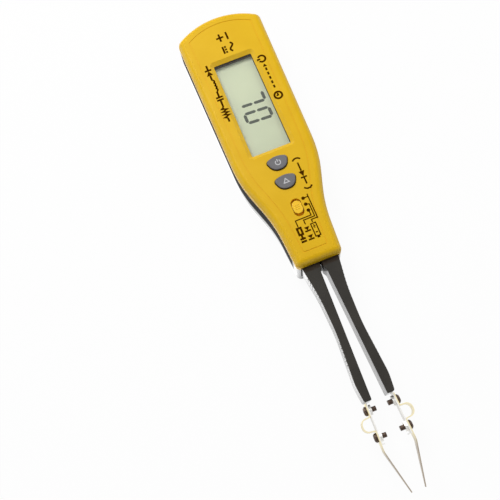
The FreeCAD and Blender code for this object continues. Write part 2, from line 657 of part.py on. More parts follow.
def make_bottom_shell():
    """Dark back shell with screw columns, pin bosses, jack block and battery opening."""
    body = new_body("bottom_shell")
    blank = pad(body, "back_blank", [handle_outline(0)], BACK, "parting_height")
    ease(body, "back_edge", blank, 0, "edge_radius")
    hollow = "parting_height - shell_wall"
    pocket(body, "back_hollow", [handle_outline(d.shell_wall)], "parting_height", hollow)
    pad(body, "column_feet", at_columns(d.column_foot_radius), "shell_wall", "board_height - shell_wall")
    pad(body, "column_shafts", at_columns(d.column_radius), "shell_wall", hollow)
    screw_hole = d.case_screw_radius + d.pin_gap
    pocket(body, "column_holes", at_columns(screw_hole), "parting_height", "parting_height")
    head_hole = d.case_head_radius + d.seat_gap
    pocket(body, "head_holes", at_columns(head_hole), BACK, "case_head_seat", upward=True)
    boss = "body_thickness - arm_drop - arm_depth - move_gap"
    pad(body, "back_pin_bosses", at_pivots(d.pin_boss_radius), "shell_wall", f"{boss} - shell_wall")
    pocket(body, "back_pin_holes", at_pivots(d.pin_radius + d.pin_gap), boss, "pin_seat")
    pocket(body, "back_mouth", [mouth_opening()], "parting_height", f"parting_height - ({boss})")
    block_width = 2 * (d.jack_spread + d.sleeve_radius + d.block_margin)
    block = rectangle((0, (sleeve_start + collar_seat) / 2), block_width, d.sleeve_length)
    block_height = "jack_height + sleeve_radius + block_margin - shell_wall"
    pad(body, "jack_block", [block], "shell_wall", block_height)
    sleeve_hole = d.sleeve_radius + d.seat_gap
    pocket(
        body, "sleeve_holes", at_jacks(sleeve_hole), -sleeve_start + d.shell_wall,
        "sleeve_length + 2 * collar_sink", role="XZ_Plane",
    )
    collar_hole = d.collar_radius + d.seat_gap
    pocket(body, "collar_holes", at_jacks(collar_hole), -collar_seat, "2 * collar_sink", role="XZ_Plane")
    recess = "door_plate + door_sink"
    boss_plan = [circle(door_ear, door_boss_radius)]
    pad(body, "door_boss", boss_plan, recess, f"door_boss_height - ({recess})")
    plate, ear, opening = door_plans(0)
    pocket(body, "door_recess", [plate], BACK, recess, upward=True)
    pocket(body, "ear_recess", [ear], BACK, recess, upward=True)
    pocket(body, "door_opening", [opening], "shell_wall", "shell_wall")
    pilot = [circle(door_ear, d.door_screw_radius + d.pin_gap)]
    pocket(body, "door_pilot", pilot, "door_boss_height", "door_boss_height")
    sound = [circle((0, buzzer_middle), d.sound_hole_radius)]
    for step in range(6):
        angle = math.radians(60 * step)
        place = (
            d.sound_hole_ring * math.cos(angle),
            buzzer_middle + d.sound_hole_ring * math.sin(angle),
        )
        sound.append(circle(place, d.sound_hole_radius))
    pocket(body, "sound_holes", sound, "shell_wall", "shell_wall")
    return body


def make_battery_door():
    """Door in the back, with two hooks at its tail end and a screw ear at its other end."""
    body = new_body("battery_door")
    gap = d.seat_gap
    plate, ear, opening = door_plans(gap)
    pad(body, "door_blank", [plate], "door_sink", "door_plate")
    pad(body, "door_ear", [ear], "door_sink", "door_plate")
    rim = "shell_wall - door_plate - door_sink + seat_gap + hook_thickness"
    pad(body, "door_rim", [opening], "door_sink + door_plate", rim)
    rim_end = mouth + d.door_distance + d.door_length / 2 - d.door_ledge - gap
    hooks = [
        rectangle((side * d.hook_spread, rim_end), d.hook_width, 2 * d.hook_reach) for side in (-1, 1)
    ]
    pad(body, "door_hooks", hooks, "shell_wall + seat_gap", "hook_thickness")
    head = [circle(door_ear, d.door_head_radius + gap)]
    pocket(body, "door_head_hole", head, "door_sink", "door_head_height", upward=True)
    hole = [circle(door_ear, d.door_screw_radius + d.pin_gap)]
    pocket(body, "door_screw_hole", hole, "door_sink", "door_plate", upward=True)
    return body


def make_screw(name, size, length, seat, turn):
    """Cross-recess screw whose head stands on its seat along the turned Z axis."""
    thread, head, height = f"{size}_screw_radius", f"{size}_head_radius", f"{size}_head_height"
    middle = (0, 0, 0)
    side, reach = f"head_side * {height}", f"recess_reach * {head}"
    drum = cylinder(name + "_drum", head, side, middle)
    crown = doc.addObject("Part::Cone", name + "_crown")
    bind(crown, "Radius1", head)
    bind(crown, "Radius2", f"head_crown * {head}")
    bind(crown, "Height", f"{height} - {side}")
    bind(crown, "Placement.Base.z", side)
    shank = cylinder(name + "_shank", thread, length, middle, FACE_DOWN)
    across = box(name + "_across", reach, "recess_width", height, middle)
    along = box(name + "_along", "recess_width", reach, height, middle)
    for arm in (across, along):
        bind(arm, "Placement.Base.z", f"recess_floor * {height}")
    screw = cut(name, fuse(name + "_blank", [drum, crown, shank]), [across, along])
    screw.Placement = Placement(Vector(*seat), turn)
    return screw


def make_case_screws():
    """Four screws from the back that pull the shells together."""
    length = "body_thickness - shell_wall - case_screw_end - case_head_seat"
    screws = [
        make_screw(f"case_screw_{number}", "case", length, (*place, d.case_head_seat), FACE_DOWN)
        for number, place in enumerate(columns)
    ]
    return group("case_screws", screws)


def make_door_screw():
    """Screw that holds the battery door."""
    seat = (*door_ear, d.door_sink + d.door_head_height)
    length = "door_boss_height - door_sink - door_head_height - seat_gap"
    return make_screw("door_screw", "door", length, seat, FACE_DOWN)


def make_display():
    """Clear window, display frame, display glass and the rubber strips that feed it."""
    window = box(
        "display_window", "view_width + 2 * window_border", "view_length + 2 * window_border",
        "window_thickness", (0, view_middle, window_bottom),
    )
    glass = box(
        "lcd_panel", "view_width + 2 * lcd_border", "view_length + 2 * lcd_border",
        "lcd_thickness", (0, view_middle, lcd_bottom),
    )
    inner = "2 * (lcd_border + seat_gap)"
    outer = "2 * (lcd_border + seat_gap + bezel_wall)"
    rise = "body_thickness - shell_wall + window_recess - window_thickness - board_height - board_thickness"
    foot = (0, view_middle, board_top)
    frame = box("bezel_blank", f"view_width + {outer}", f"view_length + {outer}", rise, foot)
    under = "body_thickness - lcd_recess - board_height - board_thickness"
    seat = box("bezel_seat", f"view_width + {inner}", f"view_length + {inner}", under, foot)
    view = box("bezel_view", "view_width", "view_length", rise, foot)
    bezel = cut("lcd_bezel", frame, [seat, view])
    glass_half = d.view_width / 2 + d.lcd_border
    strips = []
    for number, side in enumerate((-1, 1)):
        place = (side * (glass_half - d.zebra_width / 2), view_middle, board_top)
        strips.append(
            box(
                f"zebra_strip_{number}", "zebra_width",
                "view_length + 2 * lcd_border - 2 * zebra_end_margin", f"{under} - lcd_thickness", place,
            )
        )
    return [window, glass, bezel, group("zebra_strips", strips)]


def make_circuit_board():
    """Board between the shells, with holes for the screw columns."""
    body = new_body("circuit_board")
    plan = handle_outline(d.shell_wall + d.move_gap)
    pad(body, "board_blank", [plan], "board_height", "board_thickness")
    width = 4 * d.tail_half_width
    front = rectangle((0, mouth), width, 2 * d.board_start)
    rear = rectangle((0, tail), width, 2 * d.board_tail_space)
    pocket(body, "board_ends", [front, rear], "board_height + board_thickness", "board_thickness")
    holes = at_columns(d.column_radius + d.seat_gap)
    pocket(body, "board_holes", holes, "board_height + board_thickness", "board_thickness")
    return body


def make_measuring_chip():
    """Square chip under the board with pins on four sides."""
    body = new_body("measuring_chip")
    middle = (0, mouth + d.chip_distance)
    package = rectangle(middle, d.chip_width, d.chip_width)
    pad(body, "chip_package", [package], "board_height - chip_height", "chip_height")
    pins = []
    reach = d.chip_width / 2 + d.pin_length / 2 - d.pin_sheet
    for number in range(int(d.chip_pins)):
        along = (number - (d.chip_pins - 1) / 2) * d.chip_pitch
        for side in (-1, 1):
            pins.append(rectangle((side * reach, middle[1] + along), d.pin_length, d.pin_width))
            pins.append(rectangle((along, middle[1] + side * reach), d.pin_width, d.pin_length))
    pad(body, "chip_pins_row", pins, "board_height - pin_sheet", "pin_sheet")
    return body


# Small parts soldered under the board: across, along from the mouth, length, width and height.
BOARD_PARTS = (
    (-10.2, 47.5, 4.7, 11.0, 3.5),
    (10.4, 49.5, 7.3, 4.3, 2.9),
    (11.5, 56.0, 3.2, 1.6, 1.1),
    (11.5, 59.5, 3.2, 1.6, 1.1),
    (-12.0, 60.0, 2.0, 1.2, 0.6),
    (-12.0, 63.0, 2.0, 1.2, 0.6),
    (0.0, 24.0, 5.0, 4.0, 1.6),
    (7.0, 103.0, 5.2, 5.2, 1.7),
    (-7.0, 103.0, 7.0, 4.4, 2.0),
)


def make_board_parts():
    """Crystal, tantalum capacitor, resistors and input protection under the board."""
    solids = []
    for number, (across, along, length, width, height) in enumerate(BOARD_PARTS):
        foot = (across, mouth + along, d.board_height - height)
        solids.append(box(f"board_part_{number}", length, width, height, foot))
    return group("board_parts", solids)


def make_buzzer():
    """Buzzer under the board, over the sound holes of the back."""
    place = (0, buzzer_middle, d.board_height - d.buzzer_height)
    drum = cylinder("buzzer_drum", "buzzer_radius", "buzzer_height", place)
    hole = cylinder("buzzer_mouth", "buzzer_hole", "buzzer_height / 2", place)
    return cut("buzzer", drum, [hole])


def make_coin_cell():
    """Coin cell, its wide can down and its cap up, with the holder and the two contacts."""
    place = (0, cell_middle, cell_bottom)
    can = cylinder("cell_can", "cell_radius", "cell_thickness - contact_thickness", place)
    cap = cylinder("cell_cap", "cell_radius - cell_rim", "cell_thickness", place)
    cell = fuse("coin_cell", [can, cap])
    side = "2 * (cell_radius + holder_wall)"
    depth = "cell_thickness + contact_thickness"
    clip_room = "2 * contact_thickness"
    above_clip = (0, cell_middle, cell_bottom + 2 * d.contact_thickness)
    block = box("holder_block", side, side, f"{depth} + holder_roof - {clip_room}", above_clip)
    well = cylinder("holder_well", "cell_radius + seat_gap", depth, place)
    holder = cut("cell_holder", block, [well])
    sheet_half = d.contact_thickness / 2
    reach = d.cell_radius + d.holder_wall + sheet_half
    low = cell_bottom - sheet_half
    bent = [Vector(-reach, d.board_height, 0), Vector(-reach, low, 0)]
    bent += [Vector(reach, low, 0), Vector(reach, d.board_height, 0)]
    clip = new_body("cell_clip")
    clip_plan = [strip(bent, [d.contact_thickness] * len(bent), d.contact_thickness)]
    clip_start = -cell_middle - d.contact_width / 2
    pad(clip, "clip_blank", clip_plan, clip_start, "contact_width", role="XZ_Plane")
    upper = box(
        "cell_upper_contact", "cell_radius", "contact_width", "contact_thickness",
        (0, cell_middle, cell_top),
    )
    return [cell, holder, group("cell_contacts", [clip, upper])]


def make_jacks():
    """Two input jacks in the tail: brass sleeves, coloured collars and solder tags."""
    sleeves, tags, collars = [], [], []
    for side, colour in ((-1, "black"), (1, "red")):
        across = side * d.jack_spread
        start = (across, sleeve_start, d.jack_height)
        tube = cylinder(f"{colour}_tube", "sleeve_radius", "sleeve_length", start, FACE_TAIL)
        bore = cylinder(f"{colour}_bore", "jack_radius", "sleeve_length", start, FACE_TAIL)
        sleeves.append(cut(f"{colour}_sleeve", tube, [bore]))
        seat = (across, collar_seat, d.jack_height)
        ring = cylinder(f"{colour}_ring", "collar_radius", "collar_thickness", seat, FACE_TAIL)
        hole = cylinder(f"{colour}_hole", "collar_bore", "collar_thickness", seat, FACE_TAIL)
        collars.append(cut(f"{colour}_jack_collar", ring, [hole]))
        half = d.tag_thickness / 2
        bent = [
            Vector(sleeve_start - half, d.jack_height - d.jack_radius, 0),
            Vector(sleeve_start - half, board_top + half, 0),
            Vector(sleeve_start - half - d.tag_length, board_top + half, 0),
        ]
        tag = new_body(f"{colour}_tag")
        plan = [strip(bent, [d.tag_thickness] * len(bent), d.tag_thickness)]
        pad(tag, f"{colour}_tag_blank", plan, across - d.tag_width / 2, "tag_width", role="YZ_Plane")
        tags.append(tag)
    return [group("jack_sleeves", sleeves), group("jack_tags", tags), *collars]


# Controls on the face

def make_button(name, distance):
    """Button cap with its flange and stem, and the switch plunger that it presses."""
    body = new_body(f"{name}_button")
    foot = "body_thickness - shell_wall - move_gap - flange_thickness"
    rise = "shell_wall + move_gap + flange_thickness + button_proud"
    cap = pad(body, f"{name}_cap", [button_outline(distance)], foot, rise)
    ease(body, f"{name}_edge", cap, d.body_thickness + d.button_proud, "button_edge_radius")
    flange = [button_outline(distance, d.button_gap + d.button_flange)]
    pad(body, f"{name}_flange", flange, foot, "flange_thickness")
    top = "board_height + board_thickness + tact_height + plunger_proud"
    stem = [circle((0, mouth + distance), d.stem_radius)]
    pad(body, f"{name}_stem", stem, top, f"{foot} - ({top})")
    plunger = cylinder(
        f"{name}_plunger", "plunger_radius", "plunger_depth + plunger_proud",
        (0, mouth + distance, tact_top - d.plunger_depth),
    )
    return [body, plunger]


def make_tact_switches():
    """Switch bodies under the two buttons, each with a bore for its plunger."""
    switches = []
    for name, distance in (("upper", d.upper_button_distance), ("lower", d.lower_button_distance)):
        foot = (0, mouth + distance, board_top)
        block = box(f"{name}_tact_block", "tact_width", "tact_width", "tact_height", foot)
        well = (0, mouth + distance, tact_top - d.plunger_depth - d.button_travel - d.seat_gap)
        bore = cylinder(
            f"{name}_tact_bore", "plunger_radius + seat_gap",
            "plunger_depth + button_travel + 2 * seat_gap", well,
        )
        switches.append(cut(f"{name}_tact", block, [bore]))
    return group("tact_switches", switches)


def make_mode_switch():
    """Slide knob with its plate under the face, its lever, and the switch can on the board."""
    knob = new_body("mode_knob")
    rest = mouth + d.knob_distance
    foot = "body_thickness - shell_wall - move_gap - flange_thickness"
    slot_length = d.knob_length + d.knob_travel + 2 * d.knob_gap
    skirt_length = slot_length + d.knob_travel + 2 * d.move_gap
    pad(knob, "knob_skirt", [rectangle((0, rest), d.skirt_width, skirt_length)], foot, "flange_thickness")
    post = soft_rectangle((0, rest), d.knob_width, d.knob_length, d.knob_width / 2 * ROUND_SHARE)
    rise = "shell_wall + move_gap + flange_thickness + knob_proud"
    cap = pad(knob, "knob_post", [post], foot, rise)
    ease(knob, "knob_edge", cap, d.body_thickness + d.knob_proud, "least_radius")
    lever_foot = board_top + d.can_wall + d.seat_gap
    lever_rise = f"{foot} - board_height - board_thickness - can_wall - seat_gap"
    lever = box("switch_lever", "lever_width", "lever_width", lever_rise, (0, rest, lever_foot))
    middle = (0, rest, board_top)
    shell = box("can_blank", "can_width", "can_length", "can_height", middle)
    room = box(
        "can_room", "can_width - 2 * can_wall", "can_length - 2 * can_wall", "can_height - can_wall", middle
    )
    slot = box(
        "can_slot", "lever_width + 2 * move_gap", "lever_width + knob_travel + 2 * move_gap",
        "2 * can_height", middle,
    )
    return [knob, lever, cut("switch_can", shell, [room, slot])]


# Tweezer arms

def make_arm_half(name, upper):
    """Front or back half of the right arm, with its half of the blade's slot."""
    body = new_body(f"right_{name}")
    low = "body_thickness - arm_drop - arm_depth"
    middle = f"{low} + arm_depth / 2"
    foot = middle if upper else low
    blank = pad(body, f"{name}_blank", [arm_outline()], foot, "arm_depth / 2")
    ease(body, f"{name}_edge", blank, arm_top if upper else arm_bottom, "arm_edge_radius")
    slot_depth = "blade_width / 2 + seat_gap"
    pocket(body, f"{name}_slot", [blade_slot()], middle, slot_depth, upward=upper)
    pivot = (d.pivot_spread, mouth + d.pivot_inside)
    pin_hole = [circle(pivot, d.pin_radius + d.pin_gap)]
    pocket(body, f"{name}_pin_hole", pin_hole, foot, "arm_depth / 2", upward=True)
    screw_place = (d.arm_screw_spread, mouth - d.arm_screw_reach)
    screw_hole = [circle(screw_place, d.arm_screw_radius + d.pin_gap)]
    if upper:
        pilot = "arm_depth / 2 - arm_screw_cover + seat_gap"
        pocket(body, f"{name}_pilot", screw_hole, foot, pilot, upward=True)
        spring_place = (mouth - d.spring_reach, arm_middle + d.spring_height)
        well = [circle(spring_place, d.spring_radius + d.spring_wire / 2 + d.move_gap)]
        depth = "(spring_turns * spring_pitch + spring_wire) / 2 + move_gap"
        pocket(body, f"{name}_spring_well", well, 0, depth, upward=True, role="YZ_Plane")
    else:
        pocket(body, f"{name}_screw_hole", screw_hole, foot, "arm_depth / 2", upward=True)
        head = [circle(screw_place, d.arm_head_radius + d.seat_gap)]
        sink = "arm_head_sink + arm_head_height"
        pocket(body, f"{name}_head_hole", head, foot, sink, upward=True)
    return body


def make_arm_screw():
    """Screw that joins the halves of the right arm."""
    place = (d.arm_screw_spread, mouth - d.arm_screw_reach)
    seat = (*place, arm_bottom + d.arm_head_sink + d.arm_head_height)
    length = "arm_depth - arm_head_sink - arm_head_height - arm_screw_cover"
    return make_screw("right_arm_screw", "arm", length, seat, FACE_DOWN)


def tip_screw_places():
    """The two tip screws, along the blade from the arm's end."""
    return (-d.first_screw, -d.first_screw - d.screw_spacing)


def tip_screw_holes(body, name):
    """Holes through a strip for the two tip screws."""
    radius = d.tip_screw_radius + d.seat_gap
    holes = [circle((along, 0), radius) for along in tip_screw_places()]
    pocket(body, f"{name}_holes", holes, "loop_height", "2 * loop_height", role="YZ_Plane")


def make_contact_blade():
    """Tinned strip through the right arm that carries the tip and ends behind the arm."""
    body = new_body("right_contact_blade")
    thickness = d.blade_thickness
    rear = d.arm_length + d.arm_root + d.blade_rear
    run = rectangle((-thickness / 2, (rear - d.blade_reach) / 2), thickness, rear + d.blade_reach)
    pad(body, "blade_run", [run], "-blade_width / 2", "blade_width")
    lip_middle = (-(thickness + d.blade_lip) / 2, -d.blade_reach + thickness / 2)
    lip = rectangle(lip_middle, thickness + d.blade_lip, thickness)
    pad(body, "blade_lip_fold", [lip], "-blade_width / 2", "blade_width")
    tip_screw_holes(body, "blade")
    body.Placement = Placement(blade_origin, blade_turn)
    return body


def make_tip():
    """Gold spring tip of the right arm: a flat strip with a loop, a bend and a tapered point."""
    body = new_body("right_tip")
    line = d.blade_thickness / 2
    loop = -d.first_screw - d.screw_spacing / 2
    bend = math.radians(d.tip_bend)
    point = Vector(
        line - d.tip_length * math.sin(bend), -d.bend_reach - d.tip_length * math.cos(bend), 0
    )
    points = [
        Vector(line, -d.tip_start, 0),
        Vector(line, loop + d.loop_foot, 0),
        Vector(line + d.loop_height, loop + d.loop_top, 0),
        Vector(line + d.loop_height, loop - d.loop_top, 0),
        Vector(line, loop - d.loop_foot, 0),
        Vector(line, -d.bend_reach, 0),
        point,
    ]
    foot, top = d.loop_foot_radius, d.loop_radius
    radii = [0, foot, top, top, foot, d.bend_radius, 0]
    plan = [strip(points, radii, d.blade_thickness)]
    pad(body, "tip_strip", plan, "-blade_width / 2", "blade_width")
    tapers = []
    half = d.blade_width / 2
    beyond = point.y - d.blade_thickness
    for side in (-1, 1):
        corners = (
            (-d.bend_reach, side * half),
            (-d.bend_reach, side * 2 * half),
            (beyond, side * 2 * half),
            (beyond, side * d.tip_point / 2),
        )
        tapers.append(polygon([Vector(along, up, 0) for along, up in corners]))
    pocket(body, "tip_tapers", tapers, "loop_height", "3 * loop_height", role="YZ_Plane")
    tip_screw_holes(body, "tip")
    body.Placement = Placement(blade_origin, blade_turn)
    return body


def make_tip_fasteners():
    """Two screws with outward heads and two nuts that clamp the tip to the blade."""
    turn = blade_turn.multiply(FACE_RIGHT)
    screws, nuts = [], []
    for number, along in enumerate(tip_screw_places()):
        seat = blade_origin.add(blade_turn.multVec(Vector(d.blade_thickness, along, 0)))
        length = "blade_thickness + tip_screw_end"
        screws.append(make_screw(f"right_tip_screw_{number}", "tip", length, seat, turn))
        hexagon = doc.addObject("Part::Prism", f"nut_hexagon_{number}")
        hexagon.Polygon = 6
        bind(hexagon, "Circumradius", "nut_flats / 2 / cos(30)")
        bind(hexagon, "Height", "nut_height")
        bore = cylinder(f"nut_bore_{number}", "tip_screw_radius + pin_gap", "nut_height", (0, 0, 0))
        nut = cut(f"right_tip_nut_{number}", hexagon, [bore])
        inside = Vector(-d.blade_thickness - d.nut_height, along, 0)
        nut.Placement = Placement(blade_origin.add(blade_turn.multVec(inside)), turn)
        nuts.append(nut)
    return [group("right_tip_screws", screws), group("right_tip_nuts", nuts)]


def make_pivot_pins():
    """Two pins between the shells that the arms swing on."""
    length = "arm_drop + arm_depth + move_gap + pin_seat - shell_wall - seat_gap"
    foot = arm_bottom - d.move_gap - d.pin_seat
    pins = [
        cylinder(
            f"pivot_pin_{number}", "pin_radius", length,
            (side * d.pivot_spread, mouth + d.pivot_inside, foot),
        )
        for number, side in enumerate((-1, 1))
    ]
    return group("pivot_pins", pins)


def make_wiper_contacts():
    """Strips on the board that lie beside the rear ends of the two blades."""
    rear = d.arm_length + d.arm_root + d.blade_rear
    blade_end = blade_origin.add(blade_turn.multVec(Vector(-d.blade_thickness, rear, 0)))
    across = blade_end.x - d.wiper_gap - d.wiper_thickness / 2
    start = blade_end.y - d.blade_rear / 2
    length = mouth + d.board_start + d.wiper_foot - start
    strips = [
        box(
            f"wiper_{number}", "wiper_thickness", length, "wiper_width",
            (side * across, start + length / 2, board_top),
        )
        for number, side in enumerate((-1, 1))
    ]
    return group("wiper_contacts", strips)


def arc_between(start, tangent, end, reach):
    """Arc from a start and its tangent to an end, where both tangents are a reach long."""
    corner = start.add(Vector(tangent).multiply(reach))
    half_chord = start.distanceToPoint(end) / 2
    middle = start.add(end).multiply(0.5)
    lean = math.acos(min(1.0, half_chord / reach))
    outward = corner.sub(middle).normalize()
    crest = middle.add(outward.multiply(half_chord * math.tan(lean / 2)))
    return Part.Arc(start, crest, end).toShape()


def make_spread_spring():
    """Coil spring along X between the arms, as one tube on biarcs of a quarter turn."""
    radius, pitch, turns = d.spring_radius, d.spring_pitch, int(d.spring_turns)

    def wire_point(turn):
        angle = 2 * math.pi * turn
        return Vector((turn - turns / 2) * pitch, radius * math.cos(angle), radius * math.sin(angle))

    def wire_tangent(turn):
        angle = 2 * math.pi * turn
        round_way = 2 * math.pi * radius
        return Vector(pitch, -round_way * math.sin(angle), round_way * math.cos(angle)).normalize()

    edges = []
    for quarter in range(4 * turns):
        begin, finish = quarter / 4, (quarter + 1) / 4
        start, end = wire_point(begin), wire_point(finish)
        leave, arrive = wire_tangent(begin), wire_tangent(finish)
        chord, both = end.sub(start), leave.add(arrive)
        spread = 2 * (1 - leave.dot(arrive))
        along = chord.dot(both)
        reach = (-along + math.sqrt(along ** 2 + spread * chord.dot(chord))) / spread
        joint = start.add(end).add(leave.sub(arrive).multiply(reach)).multiply(0.5)
        edges.append(arc_between(start, leave, joint, reach))
        back = Vector(arrive).multiply(-1)
        edges.append(arc_between(end, back, joint, reach))
    path = Part.Wire(Part.__sortEdges__(edges))
    section = Part.Wire(Part.Circle(wire_point(0), wire_tangent(0), d.spring_wire / 2).toShape())
    shell = Part.BRepOffsetAPI.MakePipeShell(path)
    shell.add(section)
    shell.build()
    shell.makeSolid()
    samples = 48
    places = [wire_point(step / samples) for step in range(samples * turns + 1)]
    self_gap = min(
        first.distanceToPoint(second)
        for index, first in enumerate(places)
        for second in places[index + samples // 2:]
    ) - d.spring_wire
    print(f"spread_spring: least gap to itself {self_gap:.2f} mm")
    spring = doc.addObject("Part::Feature", "spread_spring")
    spring.Shape = shell.shape()
    place = Vector(0, mouth - d.spring_reach, arm_middle + d.spring_height)
    spring.Placement = Placement(place, Rotation())
    return spring


def mirrored(source):
    """The left arm's piece, as the mirror image of the right arm's."""
    image = doc.addObject("Part::Mirroring", source.Label.replace("right_", "left_"))
    image.Source = source
    image.Normal = Vector(1, 0, 0)
    return image


def check(nodes):
    """Stop if an object failed, a pocket cut nothing, or a sub-part is empty or invalid."""
    doc.recompute()
    for thing in doc.Objects:
        if "Invalid" in thing.State or "Error" in thing.State:
            raise RuntimeError(f"{thing.Label} failed: {thing.State}")
        if thing.TypeId == "PartDesign::Pocket":
            if thing.BaseFeature.Shape.Volume - thing.Shape.Volume < 1e-3:
                raise RuntimeError(f"{thing.Label} cut nothing")
    for node in nodes:
        if node.Shape.isNull() or not node.Shape.isValid():
            raise RuntimeError(f"{node.Label} has no valid shape")


right_arm = [
    make_arm_half("arm_cover", upper=True),
    make_arm_half("arm_base", upper=False),
    make_arm_screw(),
    make_contact_blade(),
    make_tip(),
    *make_tip_fasteners(),
]
nodes = [
    make_top_shell(),
    make_bottom_shell(),
    make_battery_door(),
    make_door_screw(),
    make_case_screws(),
    *make_display(),
    make_circuit_board(),
    make_measuring_chip(),
    make_board_parts(),
    make_buzzer(),
    *make_coin_cell(),
    *make_jacks(),
    *make_button("upper", d.upper_button_distance),
    *make_button("lower", d.lower_button_distance),
    make_tact_switches(),
    *make_mode_switch(),
    make_pivot_pins(),
    make_wiper_contacts(),
    make_spread_spring(),
    *right_arm,
    *[mirrored(piece) for piece in right_arm],
]
check(nodes)
os.makedirs("parts", exist_ok=True)
for node in nodes:
    node.Shape.exportStep(f"parts/{node.Label}.step")
print(f"{len(nodes)} nodes written")
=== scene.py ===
"""Looks of a tweezer-type component tester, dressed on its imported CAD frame.

The frame is in metres: +X to the right of the face, +Y to the tail and +Z out of the display.
Sizes here are millimetres, multiplied by MM where they become a mesh or a texture. Places on the
face are given as across, from the middle line, and along, from the mouth where the arms come out.
"""
import logging
import math
from abc import ABC, abstractmethod
from dataclasses import dataclass
from enum import Enum
from functools import reduce
from typing import Any, Optional, Sequence, Union

import bmesh
import bpy
from mathutils import Matrix, Vector


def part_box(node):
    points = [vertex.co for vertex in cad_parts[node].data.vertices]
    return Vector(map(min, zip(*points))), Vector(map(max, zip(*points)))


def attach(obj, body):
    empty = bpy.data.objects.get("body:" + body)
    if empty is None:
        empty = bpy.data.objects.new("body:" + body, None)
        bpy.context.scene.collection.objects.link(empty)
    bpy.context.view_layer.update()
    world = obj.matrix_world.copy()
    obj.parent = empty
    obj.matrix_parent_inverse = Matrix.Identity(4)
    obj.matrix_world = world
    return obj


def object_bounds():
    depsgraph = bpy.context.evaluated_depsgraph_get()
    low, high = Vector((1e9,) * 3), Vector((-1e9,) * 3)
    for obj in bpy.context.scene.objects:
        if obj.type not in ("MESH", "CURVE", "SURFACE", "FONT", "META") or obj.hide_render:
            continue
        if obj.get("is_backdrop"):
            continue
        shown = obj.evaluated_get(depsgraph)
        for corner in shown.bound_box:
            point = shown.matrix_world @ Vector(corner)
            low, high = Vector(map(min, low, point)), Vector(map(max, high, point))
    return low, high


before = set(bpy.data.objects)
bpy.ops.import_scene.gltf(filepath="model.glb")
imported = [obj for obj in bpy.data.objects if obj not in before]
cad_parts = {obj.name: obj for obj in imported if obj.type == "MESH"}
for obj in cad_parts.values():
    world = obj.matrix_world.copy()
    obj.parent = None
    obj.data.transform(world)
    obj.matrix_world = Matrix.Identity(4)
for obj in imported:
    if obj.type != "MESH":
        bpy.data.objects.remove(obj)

MM = 0.001
# Height of the ink on the face and on small parts, and how far off a face ribs are thrown from.
INK = 0.03
THIN_INK = 0.02
THROW = 2.0
ACROSS = Vector((1, 0, 0))
ALONG = Vector((0, 1, 0))
Colour = tuple[float, float, float]
Place = tuple[float, float, float]
Point = tuple[float, float]
Value = Union["Signal", float]
WHITE: Colour = (1.0, 1.0, 1.0)
log = logging.getLogger("component_tester")


def paint(*levels: int) -> Colour:
    """Turns a screen colour into the linear colour that the shaders use.

    Args:
        levels: Red, green and blue from 0 to 255.

    Returns:
        The linear red, green and blue.
    """
    return tuple(
        share / 12.92 if share <= 0.04045 else ((share + 0.055) / 1.055) ** 2.4
        for share in (level / 255 for level in levels)
    )


class Signal:
    """An output socket whose arithmetic adds Math nodes to its tree."""

    def __init__(self, graph: "NodeGraph", socket: bpy.types.NodeSocket) -> None:
        """Keeps the socket and the graph that it belongs to."""
        self.graph = graph
        self.socket = socket

    def math(self, operation: str, *operands: Value) -> "Signal":
        """Adds one Math node, with Blender's name of the operation and its operands in order."""
        settings = {"operation": operation}
        return self.graph.node("ShaderNodeMath", settings, dict(enumerate(operands)))

    def __add__(self, other: Value) -> "Signal":
        """The sum."""
        return self.math("ADD", self, other)

    __radd__ = __add__

    def __sub__(self, other: Value) -> "Signal":
        """The difference."""
        return self.math("SUBTRACT", self, other)

    def __rsub__(self, other: float) -> "Signal":
        """The difference from a number."""
        return self.math("SUBTRACT", other, self)

    def __mul__(self, other: Value) -> "Signal":
        """The product."""
        return self.math("MULTIPLY", self, other)

    __rmul__ = __mul__

    def __pow__(self, other: float) -> "Signal":
        """The power."""
        return self.math("POWER", self, other)

    def __abs__(self) -> "Signal":
        """The absolute value."""
        return self.math("ABSOLUTE", self)

    def largest(self, other: Value) -> "Signal":
        """The larger of this and another value."""
        return self.math("MAXIMUM", self, other)

    def ease(self, low: float, high: float) -> "Signal":
        """Rises smoothly from 0 at low to 1 at high."""
        inputs = {"Value": self, "From Min": low, "From Max": high}
        return self.graph.node("ShaderNodeMapRange", {"interpolation_type": "SMOOTHSTEP"}, inputs)


class NodeGraph:
    """Adds nodes to one node tree."""

    def __init__(self, tree: bpy.types.NodeTree) -> None:
        """Keeps the tree."""
        self.tree = tree

    def node(
        self, kind: str, settings: Optional[dict[str, Any]] = None,
        inputs: Optional[dict[Union[str, int], Any]] = None, output: Union[str, int] = 0,
    ) -> Signal:
        """Adds a node.

        Args:
            kind: Blender's type of the node.
            settings: Properties, set first.
            inputs: Values or signals by socket name or number.
            output: Name or number of the output that is returned.

        Returns:
            The chosen output.
        """
        made = self.tree.nodes.new(kind)
        for key, value in (settings or {}).items():
            setattr(made, key, value)
        for key, value in (inputs or {}).items():
            if isinstance(value, Signal):
                self.tree.links.new(value.socket, made.inputs[key])
            else:
                made.inputs[key].default_value = value
        return Signal(self, made.outputs[output])

    def split(self, vector: Signal, axis: str) -> Signal:
        """One coordinate of a vector, by the letter of its axis."""
        return self.node("ShaderNodeSeparateXYZ", inputs={"Vector": vector}, output=axis)


